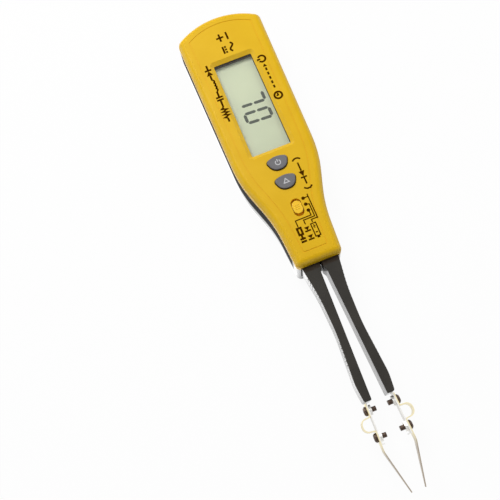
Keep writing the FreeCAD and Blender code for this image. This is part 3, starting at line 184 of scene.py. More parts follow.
class ShaderGraph(NodeGraph):
    """Shader nodes of one material, with the patterns that the finishes share."""

    def __init__(self, material: bpy.types.Material) -> None:
        """Empties the material's tree and adds the coordinates of the piece."""
        material.use_nodes = True
        super().__init__(material.node_tree)
        self.tree.nodes.clear()
        self.place = self.node("ShaderNodeTexCoord", output="Object")

    def noise(self, pitch: float, detail: float, stretch: Place = (1, 1, 1)) -> Signal:
        """Soft random values around one half.

        Args:
            pitch: Size of one blot in millimetres.
            detail: How many finer layers are added.
            stretch: How many times longer the pattern is along each axis.

        Returns:
            The values.
        """
        inputs = {"Vector": self.place, "Scale": stretch}
        turned = self.node("ShaderNodeMapping", {"vector_type": "TEXTURE"}, inputs)
        inputs = {"Vector": turned, "Scale": 1 / (pitch * MM), "Detail": detail}
        return self.node("ShaderNodeTexNoise", inputs=inputs)

    def ramp(self, axis: str, start: float, end: float) -> Signal:
        """Rises smoothly from 0 to 1 between two places on an axis, in millimetres."""
        return self.split(self.place, axis).ease(start * MM, end * MM)

    def upright(self) -> Signal:
        """How far the surface faces up or down, from 0 to 1."""
        return abs(self.split(self.node("ShaderNodeTexCoord", output="Normal"), "Z"))

    def rim(self) -> Signal:
        """1 on rounded edges between level and upright faces, and 0 on the faces."""
        level = self.upright()
        wall = (1 - level * level) ** 0.5
        return (1 - level.largest(wall)).ease(0.03, 0.24)

    def blend(self, share: Value, first: Any, second: Any) -> Signal:
        """Mixes two colours.

        Args:
            share: How much of the second colour there is.
            first: Colour or signal.
            second: Colour or signal.

        Returns:
            The mixed colour.
        """
        sides = [(*side, 1.0) if isinstance(side, tuple) else side for side in (first, second)]
        inputs = {"Factor": share, 6: sides[0], 7: sides[1]}
        return self.node("ShaderNodeMix", {"data_type": "RGBA"}, inputs, output=2)

    def bump(self, height: Signal, depth: float) -> Signal:
        """A normal with relief from a height of 0 to 1, of that depth in millimetres."""
        return self.node("ShaderNodeBump", inputs={"Height": height, "Distance": depth * MM})

    def surface(self, **inputs: Any) -> None:
        """Ends the material in one principled shader with these inputs."""
        labels = {key: key.replace("_", " ").title().replace("Ior", "IOR") for key in inputs}
        named = {labels[key]: value for key, value in inputs.items()}
        self.node_out(self.node("ShaderNodeBsdfPrincipled", inputs=named))

    def node_out(self, shader: Signal) -> None:
        """Links a shader to the material's output."""
        target = self.tree.nodes.new("ShaderNodeOutputMaterial")
        self.tree.links.new(shader.socket, target.inputs["Surface"])


@dataclass(frozen=True)
class Finish(ABC):
    """A surface finish that becomes one material."""

    name: str

    def material(self) -> bpy.types.Material:
        """The finish's material, made at its first use."""
        found = bpy.data.materials.get(self.name)
        if found is None:
            found = bpy.data.materials.new(self.name)
            self.shade(ShaderGraph(found))
        return found

    def cover(self, mesh: bpy.types.Mesh) -> None:
        """Makes the finish the only material of a mesh."""
        mesh.materials.clear()
        mesh.materials.append(self.material())

    @abstractmethod
    def shade(self, graph: ShaderGraph) -> None:
        """Writes the finish's nodes."""


class MouldTexture(Enum):
    """How a mould's wall was finished: pitch and depth of the grain in millimetres."""

    SPARKED = (0.26, 0.020)
    SATIN = (0.16, 0.007)
    POLISHED = (0.5, 0.0015)


@dataclass(frozen=True)
class MouldedPlastic(Finish):
    """Injection-moulded plastic with mould grain, uneven colour, and rounded edges made paler,
    partly by wear and partly as a painted highlight.

    Its walls are glossy below one height, gloss_below, and before one place along, polish_before.
    Painted shade darkens what lies on the tail side of a given place along, for the crease under
    the mouth's lip.
    """

    colour: Colour
    deep: Colour
    rubbed: Colour
    texture: MouldTexture
    roughness: float
    rub: float = 0.5
    wall_colour: Optional[Colour] = None
    wall_gloss: float = 0.0
    rim_gloss: float = 0.0
    gloss_below: float = 100.0
    gloss_fade: float = 0.8
    sheen: float = 0.2
    grime_from: Optional[float] = None
    grime_reach: float = 1.6
    polish_before: Optional[float] = None
    polish_fade: float = 4.0

    def shade(self, graph: ShaderGraph) -> None:
        """Writes the finish's nodes."""
        pitch, depth = self.texture.value
        grain = graph.noise(pitch, 1.0)
        cloud = graph.noise(11.0, 3.0)
        blotches = graph.noise(1.7, 4.0).ease(0.42, 0.66)
        rim = graph.rim()
        wall = 1 - graph.upright().ease(0.25, 0.8)
        tone = graph.blend(cloud.ease(0.3, 0.75) * 0.6 + grain * 0.15, self.colour, self.deep)
        # Rounded edges turn paler in blotches: partly edge wear, partly a painted highlight.
        colour = graph.blend(rim * (0.35 + 0.65 * blotches) * self.rub, tone, self.rubbed)
        # Painted shade: upright side walls are darkened as if in shadow.
        if self.wall_colour is not None:
            colour = graph.blend(wall * (0.8 + 0.2 * cloud), colour, self.wall_colour)
        # Painted shade in the crease under the mouth's lip: darker on the tail side of a given
        # place along, in blotches.
        if self.grime_from is not None:
            crease_shade = graph.ramp("Y", self.grime_from - self.grime_reach, self.grime_from)
            colour = graph.blend(crease_shade * (0.7 + 0.3 * blotches), colour, CREASE_SHADE_COLOUR)
        rough = self.roughness + (grain - 0.5) * 0.12 + (cloud - 0.5) * 0.1 - rim * 0.06
        streak = graph.noise(0.9, 2.0, (1, 14, 1))
        painted_reflection = wall * self.wall_gloss * (0.7 + 0.6 * streak) + rim * self.rim_gloss
        glossy = 1 - graph.ramp("Z", self.gloss_below - self.gloss_fade, self.gloss_below)
        if self.polish_before is not None:
            plain = graph.ramp("Y", self.polish_before - self.polish_fade, self.polish_before)
            glossy = glossy.largest(1 - plain)
        graph.surface(
            base_color=colour, roughness=rough, normal=graph.bump(grain, depth),
            specular_ior_level=self.sheen, coat_weight=painted_reflection * glossy, coat_roughness=0.07,
        )


@dataclass(frozen=True)
class DrawnMetal(Finish):
    """Rolled or turned metal with fine lines along one axis and a little tarnish."""

    colour: Colour
    tarnish: Colour
    roughness: float
    lines: Place = (1, 30, 1)
    tarnish_share: float = 0.5
    worn: Optional[Colour] = None
    worn_from: float = 0.0
    worn_to: float = 0.0

    def shade(self, graph: ShaderGraph) -> None:
        """Writes the finish's nodes."""
        streak = graph.noise(0.12, 2.0, self.lines)
        cloud = graph.noise(2.2, 4.0)
        stain = cloud.ease(0.45, 0.75) * self.tarnish_share + graph.rim() * 0.15
        lined = graph.blend(streak * 0.35, self.colour, self.tarnish)
        colour = graph.blend(stain, lined, self.tarnish)
        if self.worn is not None:
            reach = 1 - graph.ramp("Y", self.worn_to, self.worn_from)
            colour = graph.blend(reach * (0.75 + 0.25 * cloud), colour, self.worn)
        rough = self.roughness + (streak - 0.5) * 0.18 + (cloud - 0.5) * 0.14
        graph.surface(
            base_color=colour, metallic=1.0, roughness=rough, normal=graph.bump(streak, 0.004)
        )


@dataclass(frozen=True)
class OxidedSteel(Finish):
    """Dark oxide on steel, thin on the edges."""

    colour: Colour
    bare: Colour
    roughness: float

    def shade(self, graph: ShaderGraph) -> None:
        """Writes the finish's nodes."""
        blot = graph.noise(0.45, 4.0)
        grain = graph.noise(0.09, 1.0)
        worn = graph.rim() * blot.ease(0.4, 0.7) * 0.55 + blot.ease(0.62, 0.8) * 0.25
        graph.surface(
            base_color=graph.blend(worn, self.colour, self.bare), metallic=0.55 + 0.4 * worn,
            roughness=self.roughness + (blot - 0.5) * 0.25, normal=graph.bump(grain, 0.006),
        )


@dataclass(frozen=True)
class DisplayGlass(Finish):
    """Grey-green reflective display under its polarizing film."""

    colour: Colour
    edge: Colour

    def shade(self, graph: ShaderGraph) -> None:
        """Writes the finish's nodes."""
        film = graph.noise(0.08, 1.0)
        cloud = graph.noise(14.0, 2.0)
        share = cloud.ease(0.3, 0.7) * 0.55 + (film - 0.5) * 0.3
        colour = graph.blend(share, self.colour, self.edge)
        graph.surface(
            base_color=colour, roughness=0.32 + (film - 0.5) * 0.1, normal=graph.bump(film, 0.002),
            specular_ior_level=0.15,
        )


@dataclass(frozen=True)
class ClearSheet(Finish):
    """Clear plastic window with a few hairlines and a pale painted reflection at grazing angles."""

    tint: Colour
    index: float = 1.49

    def shade(self, graph: ShaderGraph) -> None:
        """Writes the finish's nodes."""
        hairline = graph.noise(0.25, 2.0, (1, 14, 1)).ease(0.66, 0.74)
        # Painted reflection: the pale tint covers more of the window at grazing angles, following
        # the Fresnel factor.
        painted_reflection = graph.node("ShaderNodeFresnel", inputs={"IOR": self.index})
        graph.surface(
            base_color=graph.blend(hairline, self.tint, WHITE),
            roughness=0.2 + hairline * 0.2, alpha=0.02 + painted_reflection * 0.4 + hairline * 0.03,
            specular_ior_level=0.2,
        )


@dataclass(frozen=True)
class PrintedInk(Finish):
    """Pad-printed ink, thinner in places."""

    colour: Colour
    thin: Colour
    roughness: float = 0.5
    sheen: float = 0.1

    def shade(self, graph: ShaderGraph) -> None:
        """Writes the finish's nodes."""
        speckle = graph.noise(0.22, 3.0)
        cloud = graph.noise(2.5, 2.0)
        share = speckle.ease(0.55, 0.8) * 0.5 + cloud.ease(0.5, 0.8) * 0.35
        graph.surface(
            base_color=graph.blend(share, self.colour, self.thin), specular_ior_level=self.sheen,
            roughness=self.roughness + (speckle - 0.5) * 0.2, normal=graph.bump(speckle, 0.004),
        )


@dataclass(frozen=True)
class WovenLaminate(Finish):
    """Circuit-board laminate: solder mask over a glass weave, with buried tracks."""

    mask: Colour
    track: Colour
    weave_pitch: float = 1.0
    track_pitch: float = 2.4

    def shade(self, graph: ShaderGraph) -> None:
        """Writes the finish's nodes."""
        wave = {"Vector": graph.place, "Scale": 1 / (self.weave_pitch * MM)}
        warp = graph.node("ShaderNodeTexWave", {"bands_direction": "X"}, wave, output="Fac")
        weft = graph.node("ShaderNodeTexWave", {"bands_direction": "Y"}, wave, output="Fac")
        cells = {"Vector": graph.place, "Scale": 1 / (self.track_pitch * MM), "Randomness": 0.4}
        edges = {"feature": "DISTANCE_TO_EDGE"}
        run = graph.node("ShaderNodeTexVoronoi", edges, cells, output="Distance")
        copper = 1 - run.ease(0.05, 0.09)
        weave = warp * weft
        graph.surface(
            base_color=graph.blend(copper * 0.8 + weave * 0.15, self.mask, self.track),
            roughness=0.34 + weave * 0.12, normal=graph.bump(weave * 0.5 + copper * 0.5, 0.02),
        )


@dataclass(frozen=True)
class Ceramic(Finish):
    """Fired ceramic or pressed rubber of small board parts."""

    colour: Colour
    fleck: Colour
    roughness: float

    def shade(self, graph: ShaderGraph) -> None:
        """Writes the finish's nodes."""
        grit = graph.noise(0.2, 3.0)
        graph.surface(
            base_color=graph.blend(grit.ease(0.45, 0.75), self.colour, self.fleck),
            roughness=self.roughness + (grit - 0.5) * 0.15, normal=graph.bump(grit, 0.01),
        )


# Colour of the painted shade in the crease where the arms go under the mouth's lip.
CREASE_SHADE_COLOUR = paint(36, 22, 6)
# The yellow's paler rounded edges are partly wear and partly a painted highlight.
YELLOW = MouldedPlastic(
    "yellow_shell_plastic", paint(237, 190, 26), paint(230, 182, 18), paint(236, 212, 110),
    MouldTexture.SATIN, 0.42, 0.18, rim_gloss=0.25, sheen=0.12,
)
KNOB_YELLOW = MouldedPlastic(
    "yellow_knob_plastic", paint(255, 206, 40), paint(250, 196, 30), paint(255, 230, 124),
    MouldTexture.POLISHED, 0.34, 0.6,
)
BACK_DARK = MouldedPlastic(
    "dark_back_plastic", paint(44, 43, 42), paint(34, 33, 32), paint(86, 84, 82),
    MouldTexture.SPARKED, 0.55, 0.4, wall_gloss=1.0, gloss_below=8.5, gloss_fade=3.0, sheen=0.008,
    polish_before=-11.0,
)
# The arms carry a painted shade where they go under the mouth's lip.
ARM_DARK = MouldedPlastic(
    "dark_arm_plastic", paint(56, 53, 48), paint(44, 42, 38), paint(96, 93, 88),
    MouldTexture.SPARKED, 0.62, 0.4, wall_gloss=1.0, grime_from=-19.1, grime_reach=0.9,
)
FRAME_BLACK = MouldedPlastic(
    "black_frame_plastic", paint(24, 20, 16), paint(16, 14, 12), paint(60, 54, 48),
    MouldTexture.SATIN, 0.6, 0.4,
)
# Painted shade: the bezel's dark brown stands in for the yellow wall around the display seen in
# deep shadow.
SHADED_BEZEL = MouldedPlastic(
    "brown_bezel_plastic", paint(58, 40, 8), paint(44, 30, 6), paint(96, 72, 22),
    MouldTexture.SATIN, 0.6, 0.4, sheen=0.1,
)
SOCKET_BLACK = MouldedPlastic(
    "black_socket_plastic", paint(28, 28, 30), paint(20, 20, 22), paint(80, 80, 82),
    MouldTexture.POLISHED, 0.32,
)
SOCKET_RED = MouldedPlastic(
    "red_socket_plastic", paint(196, 28, 26), paint(168, 20, 20), paint(236, 110, 100),
    MouldTexture.POLISHED, 0.32,
)
# The buttons' side walls carry a dark brown painted shade.
BUTTON_GREY = MouldedPlastic(
    "grey_button_rubber", paint(120, 119, 121), paint(104, 102, 108), paint(146, 144, 146),
    MouldTexture.SPARKED, 0.58, 0.3, wall_colour=paint(46, 30, 12),
)
CLEAR = ClearSheet("clear_window_plastic", (0.92, 0.96, 0.94))
DISPLAY = DisplayGlass("display_film", paint(214, 221, 190), paint(206, 214, 184))
STRIP_RUBBER = Ceramic("contact_strip_rubber", paint(214, 170, 178), paint(70, 66, 66), 0.7)
LAMINATE = WovenLaminate("board_laminate", paint(18, 92, 52), paint(64, 140, 74))
CHIP_TAN = Ceramic("board_part_ceramic", paint(186, 152, 112), paint(142, 112, 84), 0.5)
CHIP_BLACK = Ceramic("chip_epoxy", paint(34, 34, 36), paint(56, 56, 58), 0.55)
STEEL = DrawnMetal("bright_steel", (0.62, 0.61, 0.59), (0.42, 0.41, 0.39), 0.26)
TINNED = DrawnMetal("tinned_plate", (0.80, 0.79, 0.76), (0.60, 0.58, 0.54), 0.36, (1, 40, 1))
BRASS = DrawnMetal("jack_brass", (0.80, 0.62, 0.28), (0.55, 0.38, 0.16), 0.24)
NICKEL = DrawnMetal(
    "nickel_nut_plate", (0.93, 0.92, 0.89), (0.80, 0.78, 0.74), 0.55, (1, 1, 1), 0.3,
)
GOLD = DrawnMetal(
    "gold_spring_strip", (0.86, 0.77, 0.50), (0.68, 0.58, 0.34), 0.30, (1, 40, 1),
    worn=(0.38, 0.32, 0.27), worn_from=-93.0, worn_to=-100.0,
)
OXIDE = OxidedSteel("oxided_screw_steel", paint(66, 50, 40), paint(176, 150, 126), 0.34)
LEGEND_INK = PrintedInk("brown_legend_ink", paint(72, 40, 0), paint(92, 58, 4), sheen=0.0)
BUTTON_INK = PrintedInk("pale_button_ink", paint(206, 206, 208), paint(176, 175, 178))
SEGMENT_INK = PrintedInk("display_segments", paint(70, 76, 66), paint(84, 90, 78), 0.4)

NODE_FINISHES: dict[str, Finish] = {
    "top_shell": YELLOW, "bottom_shell": BACK_DARK, "battery_door": BACK_DARK, "door_screw": OXIDE,
    "case_screws": OXIDE, "display_window": CLEAR, "lcd_panel": DISPLAY, "lcd_bezel": SHADED_BEZEL,
    "zebra_strips": STRIP_RUBBER, "circuit_board": LAMINATE, "measuring_chip": CHIP_BLACK,
    "board_parts": CHIP_TAN, "buzzer": FRAME_BLACK, "coin_cell": STEEL, "cell_holder": FRAME_BLACK,
    "cell_contacts": TINNED, "jack_sleeves": BRASS, "jack_tags": TINNED,
    "black_jack_collar": SOCKET_BLACK, "red_jack_collar": SOCKET_RED, "upper_button": BUTTON_GREY,
    "lower_button": BUTTON_GREY, "upper_plunger": FRAME_BLACK, "lower_plunger": FRAME_BLACK,
    "tact_switches": FRAME_BLACK, "mode_knob": KNOB_YELLOW, "switch_lever": FRAME_BLACK,
    "switch_can": TINNED, "pivot_pins": STEEL, "wiper_contacts": BRASS, "spread_spring": STEEL,
}
ARM_FINISHES: dict[str, Finish] = {
    "arm_cover": ARM_DARK, "arm_base": ARM_DARK, "arm_screw": OXIDE, "contact_blade": TINNED,
    "tip": GOLD, "tip_screws": OXIDE, "tip_nuts": NICKEL,
}


class Side(Enum):
    """The two tweezer arms, by the sign of their place across."""

    LEFT = -1
    RIGHT = 1

    @property
    def label(self) -> str:
        """The word that starts the names of this side's nodes."""
        return self.name.lower()


def dress(finishes: dict[str, Finish], prefix: str = "") -> None:
    """Gives CAD nodes their finishes. The prefix is put before the names of the nodes."""
    for node, finish in finishes.items():
        finish.cover(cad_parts[prefix + node].data)


def add_object(name: str, data: bpy.types.ID) -> bpy.types.Object:
    """Makes an object of that name with the data, and links it to the scene."""
    made = bpy.data.objects.new(name, data)
    bpy.context.scene.collection.objects.link(made)
    return made


def add_piece(name: str, mesh: bpy.types.Mesh, body: str, finish: Finish) -> None:
    """Adds a finished mesh as a piece that rides on a body.

    Args:
        name: The piece's name.
        mesh: Its mesh, in place.
        body: The body that it moves with.
        finish: Its finish.
    """
    piece = add_object(name, mesh)
    finish.cover(mesh)
    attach(piece, body)
    log.info("piece %s on %s: %d faces", name, body, len(mesh.polygons))


class GeometryRecipe(NodeGraph):
    """A Geometry Nodes tree with named inputs that ends in a plain mesh."""

    def __init__(self, name: str, inputs: dict[str, str]) -> None:
        """Makes the tree and its inputs.

        Args:
            name: The tree's name.
            inputs: Kind of each named input, apart from the material.
        """
        super().__init__(bpy.data.node_groups.new(name, "GeometryNodeTree"))
        sockets = [(label, "INPUT", kind) for label, kind in inputs.items()]
        sockets += [("Material", "INPUT", "Material"), ("Geometry", "OUTPUT", "Geometry")]
        for label, way, kind in sockets:
            self.tree.interface.new_socket(
                name=label, in_out=way, socket_type=f"NodeSocket{kind}",
            )
        self.source = self.tree.nodes.new("NodeGroupInput")

    def given(self, label: str) -> Signal:
        """The named input of the tree."""
        return Signal(self, self.source.outputs[label])

    def row(self, points: Signal, shape: Signal) -> Signal:
        """The shape on each of the points."""
        inputs = {"Points": points, "Instance": shape}
        return self.node("GeometryNodeInstanceOnPoints", inputs=inputs)

    def points(self) -> Signal:
        """The points in line that the inputs Start, End and Count give."""
        return self.node("GeometryNodeMeshLine", {"mode": "END_POINTS"}, {
            "Count": self.given("Count"), "Start Location": self.given("Start"),
            "Offset": self.given("End"),
        })

    def tube(self, curve: Signal, sides: int, radius: Signal) -> Signal:
        """A closed tube with that many sides along a curve."""
        inputs = {"Resolution": sides, "Radius": radius}
        ring = self.node("GeometryNodeCurvePrimitiveCircle", inputs=inputs)
        inputs = {"Curve": curve, "Profile Curve": ring, "Fill Caps": True}
        return self.node("GeometryNodeCurveToMesh", inputs=inputs)

    def close(self, geometry: Signal) -> None:
        """Ends the tree in real faces with the given material."""
        real = self.node("GeometryNodeRealizeInstances", inputs={"Geometry": geometry})
        inputs = {"Geometry": real, "Material": self.given("Material")}
        coloured = self.node("GeometryNodeSetMaterial", inputs=inputs)
        target = self.tree.nodes.new("NodeGroupOutput")
        self.tree.links.new(coloured.socket, target.inputs["Geometry"])

    def mesh(self, name: str, values: dict[str, Any]) -> bpy.types.Mesh:
        """Runs the tree.

        Args:
            name: Name of the mesh.
            values: Value of each named input.

        Returns:
            The result as a plain mesh.
        """
        carrier = add_object(name, bpy.data.meshes.new(name))
        modifier = carrier.modifiers.new(name, "NODES")
        modifier.node_group = self.tree
        for item in self.tree.interface.items_tree:
            if item.in_out == "INPUT" and item.name in values:
                modifier[item.identifier] = values[item.name]
        graph = bpy.context.evaluated_depsgraph_get()
        result = bpy.data.meshes.new_from_object(carrier.evaluated_get(graph), depsgraph=graph)
        bpy.data.objects.remove(carrier)
        result.name = name
        return result


class SurfaceRibs(GeometryRecipe):
    """A row of rounded ribs that are thrown onto a node's surface."""

    REACH = 30.0
    RINGS = 17
    SIDES = 14
    ROUNDING = 6.0
    END_SWELL = 0.02

    def __init__(self) -> None:
        """Builds the tree: a row of points, thrown onto the carrier, with one rib on each."""
        super().__init__("surface_ribs", {
            "Carrier": "Object", "Start": "Vector", "End": "Vector", "Count": "Int",
            "Aim": "Vector", "Rib Axis": "Vector", "Rib Length": "Float", "Rib Radius": "Float",
        })
        inputs = {"Object": self.given("Carrier")}
        target = self.node("GeometryNodeObjectInfo", inputs=inputs, output="Geometry")
        struck = self.node("GeometryNodeRaycast", inputs={
            "Target Geometry": target, "Ray Direction": self.given("Aim"),
            "Ray Length": self.REACH * MM,
        }, output="Hit Position")
        inputs = {"Geometry": self.points(), "Position": struck}
        seated = self.node("GeometryNodeSetPosition", inputs=inputs)
        back, front = (self.node("ShaderNodeVectorMath", {"operation": "SCALE"}, {
            0: self.given("Rib Axis"), "Scale": self.given("Rib Length") * half,
        }) for half in (-0.5, 0.5))
        line = self.node("GeometryNodeCurvePrimitiveLine", inputs={"Start": back, "End": front})
        inputs = {"Curve": line, "Count": self.RINGS}
        fine = self.node("GeometryNodeResampleCurve", inputs=inputs)
        from_middle = abs(self.node("GeometryNodeSplineParameter", output="Factor") * 2.0 - 1.0)
        swell = (1 - from_middle ** self.ROUNDING) ** 0.5
        inputs = {"Curve": fine, "Radius": swell.largest(self.END_SWELL)}
        shaped = self.node("GeometryNodeSetCurveRadius", inputs=inputs)
        rib = self.tube(shaped, self.SIDES, self.given("Rib Radius"))
        self.close(self.row(seated, rib))


class ScrewThread(GeometryRecipe):
    """A helical thread along +Z."""

    STEPS = 28
    SIDES = 6

    def __init__(self) -> None:
        """Builds the tree: a spiral swept by a small ridge."""
        super().__init__("screw_thread", {
            "Radius": "Float", "Turns": "Float", "Length": "Float", "Ridge": "Float",
        })
        spiral = self.node("GeometryNodeCurveSpiral", inputs={
            "Resolution": self.STEPS, "Rotations": self.given("Turns"),
            "Start Radius": self.given("Radius"), "End Radius": self.given("Radius"),
            "Height": self.given("Length"),
        })
        self.close(self.tube(spiral, self.SIDES, self.given("Ridge")))


class SpotRow(GeometryRecipe):
    """A row of round printed spots on a level face."""

    SIDES = 28

    def __init__(self) -> None:
        """Builds the tree: a thin disc on each point of a line."""
        super().__init__("spot_row", {
            "Start": "Vector", "End": "Vector", "Count": "Int", "Spot Radius": "Float",
            "Thickness": "Float",
        })
        spot = self.node("GeometryNodeMeshCylinder", inputs={
            "Vertices": self.SIDES, "Radius": self.given("Spot Radius"),
            "Depth": self.given("Thickness"),
        })
        self.close(self.row(self.points(), spot))


class InkSheet:
    """Collects printed marks as thin closed plates on a level face."""

    LEAST_MITRE = 0.4
    ARC_STEP = 10.0

    def __init__(self, origin: Vector, across: Vector, along: Vector, thickness: float) -> None:
        """Starts an empty sheet.

        Args:
            origin: Where the sheet's own zero is, in metres.
            across: Direction of its first coordinate.
            along: Direction of its second coordinate.
            thickness: Height of the ink in millimetres.
        """
        self.origin = origin
        self.across = across
        self.along = along
        self.rise = across.cross(along) * thickness * MM
        self.bmesh = bmesh.new()

    def _corner(self, point: Point, top: bool) -> bmesh.types.BMVert:
        """Adds a corner at the ink's foot or top."""
        place = self.origin + (self.across * point[0] + self.along * point[1]) * MM
        return self.bmesh.verts.new(place + self.rise if top else place)

    def plate(self, outline: Sequence[Point]) -> None:
        """Prints a filled shape, given by its corners in turn."""
        feet = [self._corner(point, False) for point in outline]
        tops = [self._corner(point, True) for point in outline]
        self.bmesh.faces.new(tops)
        self.bmesh.faces.new(feet[::-1])
        for one in range(len(outline)):
            two = (one + 1) % len(outline)
            self.bmesh.faces.new((feet[one], feet[two], tops[two], tops[one]))

    def stroke(self, points: Sequence[Point], width: float, closed: bool = False) -> None:
        """Prints a line with mitred corners.

        Args:
            points: The line's points.
            width: Its width.
            closed: Whether it returns to its start.
        """
        spots = [Vector(point) for point in points]
        count = len(spots)
        rails: list[list[bmesh.types.BMVert]] = []
        for index, spot in enumerate(spots):
            before = spots[index - 1] if closed or index else spot
            after = spots[(index + 1) % count] if closed or index < count - 1 else spot
            steps = [step.normalized() for step in (spot - before, after - spot) if step.length]
            sides = [Vector((-step.y, step.x)) for step in steps]
            mitre = sum(sides, Vector((0, 0))).normalized()
            offset = mitre * (width / 2 / max(mitre.dot(sides[0]), self.LEAST_MITRE))
            left, right = spot + offset, spot - offset
            rails.append([
                self._corner(right, False), self._corner(left, False),
                self._corner(left, True), self._corner(right, True),
            ])
        for index in range(count if closed else count - 1):
            one, two = rails[index], rails[(index + 1) % count]
            for corner in range(4):
                turn = (corner + 1) % 4
                self.bmesh.faces.new((one[corner], one[turn], two[turn], two[corner]))
        if not closed:
            self.bmesh.faces.new(rails[0][::-1])
            self.bmesh.faces.new(rails[-1])

    def bars(self, across: float, width: float, *spans: Point) -> None:
        """Prints straight lines along the sheet, each between the two places of its span."""
        for start, end in spans:
            self.stroke([(across, start), (across, end)], width)

    def ticks(self, middle: float, half: float, width: float, *places: float) -> None:
        """Prints straight lines across the sheet, as long to each side of the middle as half."""
        for along in places:
            self.stroke([(middle - half, along), (middle + half, along)], width)

    def arc(self, middle: Point, radius: float, start: float, end: float, width: float) -> None:
        """Prints part of a ring.

        Args:
            middle: Middle of the ring.
            radius: Radius to the middle of the line.
            start: First angle in degrees.
            end: Last angle in degrees.
            width: Width of the line.
        """
        count = round(abs(end - start) / self.ARC_STEP)
        angles = [math.radians(start + (end - start) * step / count) for step in range(count + 1)]
        whole = abs(end - start) >= 360
        turns = [(radius * math.cos(angle), radius * math.sin(angle)) for angle in angles]
        points = [(middle[0] + across, middle[1] + along) for across, along in turns]
        self.stroke(points[:-1] if whole else points, width, whole)

    def mesh(self, name: str) -> bpy.types.Mesh:
        """Returns the printed marks as one mesh of that name."""
        bmesh.ops.recalc_face_normals(self.bmesh, faces=self.bmesh.faces)
        result = bpy.data.meshes.new(name)
        self.bmesh.to_mesh(result)
        self.bmesh.free()
        return result


@dataclass
class DisplayReading:
    """The number 70 on the display, in seven-segment digits that read towards the mouth.

    Each digit is given by the letters of its lit segments.
    """

    digits: tuple[str, ...] = ("abc", "abcdef")
    digit_width: float = 4.95
    digit_height: float = 11.6
    digit_pitch: float = 9.1
    segment_width: float = 1.45
    segment_gap: float = 0.16
    slant: float = 0.055
    first_along: float = 87.1
    foot_across: float = -4.6

    def segment(self, name: str) -> tuple[Point, Point]:
        """The ends of one segment, from the digit's lower left corner."""
        wide, high, half = self.digit_width, self.digit_height, self.digit_height / 2
        ends = {
            "a": ((0, high), (wide, high)), "b": ((wide, half), (wide, high)),
            "c": ((wide, 0), (wide, half)), "d": ((0, 0), (wide, 0)), "e": ((0, 0), (0, half)),
            "f": ((0, half), (0, high)), "g": ((0, half), (wide, half)),
        }
        return ends[name]

    def build(self, mouth: float) -> None:
        """Makes the lit segments on the display glass.

        Args:
            mouth: Place of the mouth along the frame, in metres.
        """
        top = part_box("lcd_panel")[1].z
        origin = Vector((self.foot_across * MM, mouth + self.first_along * MM, top))
        sheet = InkSheet(origin, -ALONG, ACROSS, THIN_INK)
        for place, digit in enumerate(self.digits):
            for name in digit:
                start, end = (Vector(point) for point in self.segment(name))
                run = (end - start).normalized()
                side = Vector((-run.y, run.x)) * self.segment_width / 2
                start = start + run * self.segment_gap
                end = end - run * self.segment_gap
                nose = run * self.segment_width / 2
                corners = (
                    start, start + nose + side, end - nose + side,
                    end, end - nose - side, start + nose - side,
                )
                first = place * self.digit_pitch
                sheet.plate([(spot.x + self.slant * spot.y + first, spot.y) for spot in corners])
        mesh = sheet.mesh("display_segments")
        add_piece("display_segments", mesh, "housing", SEGMENT_INK)


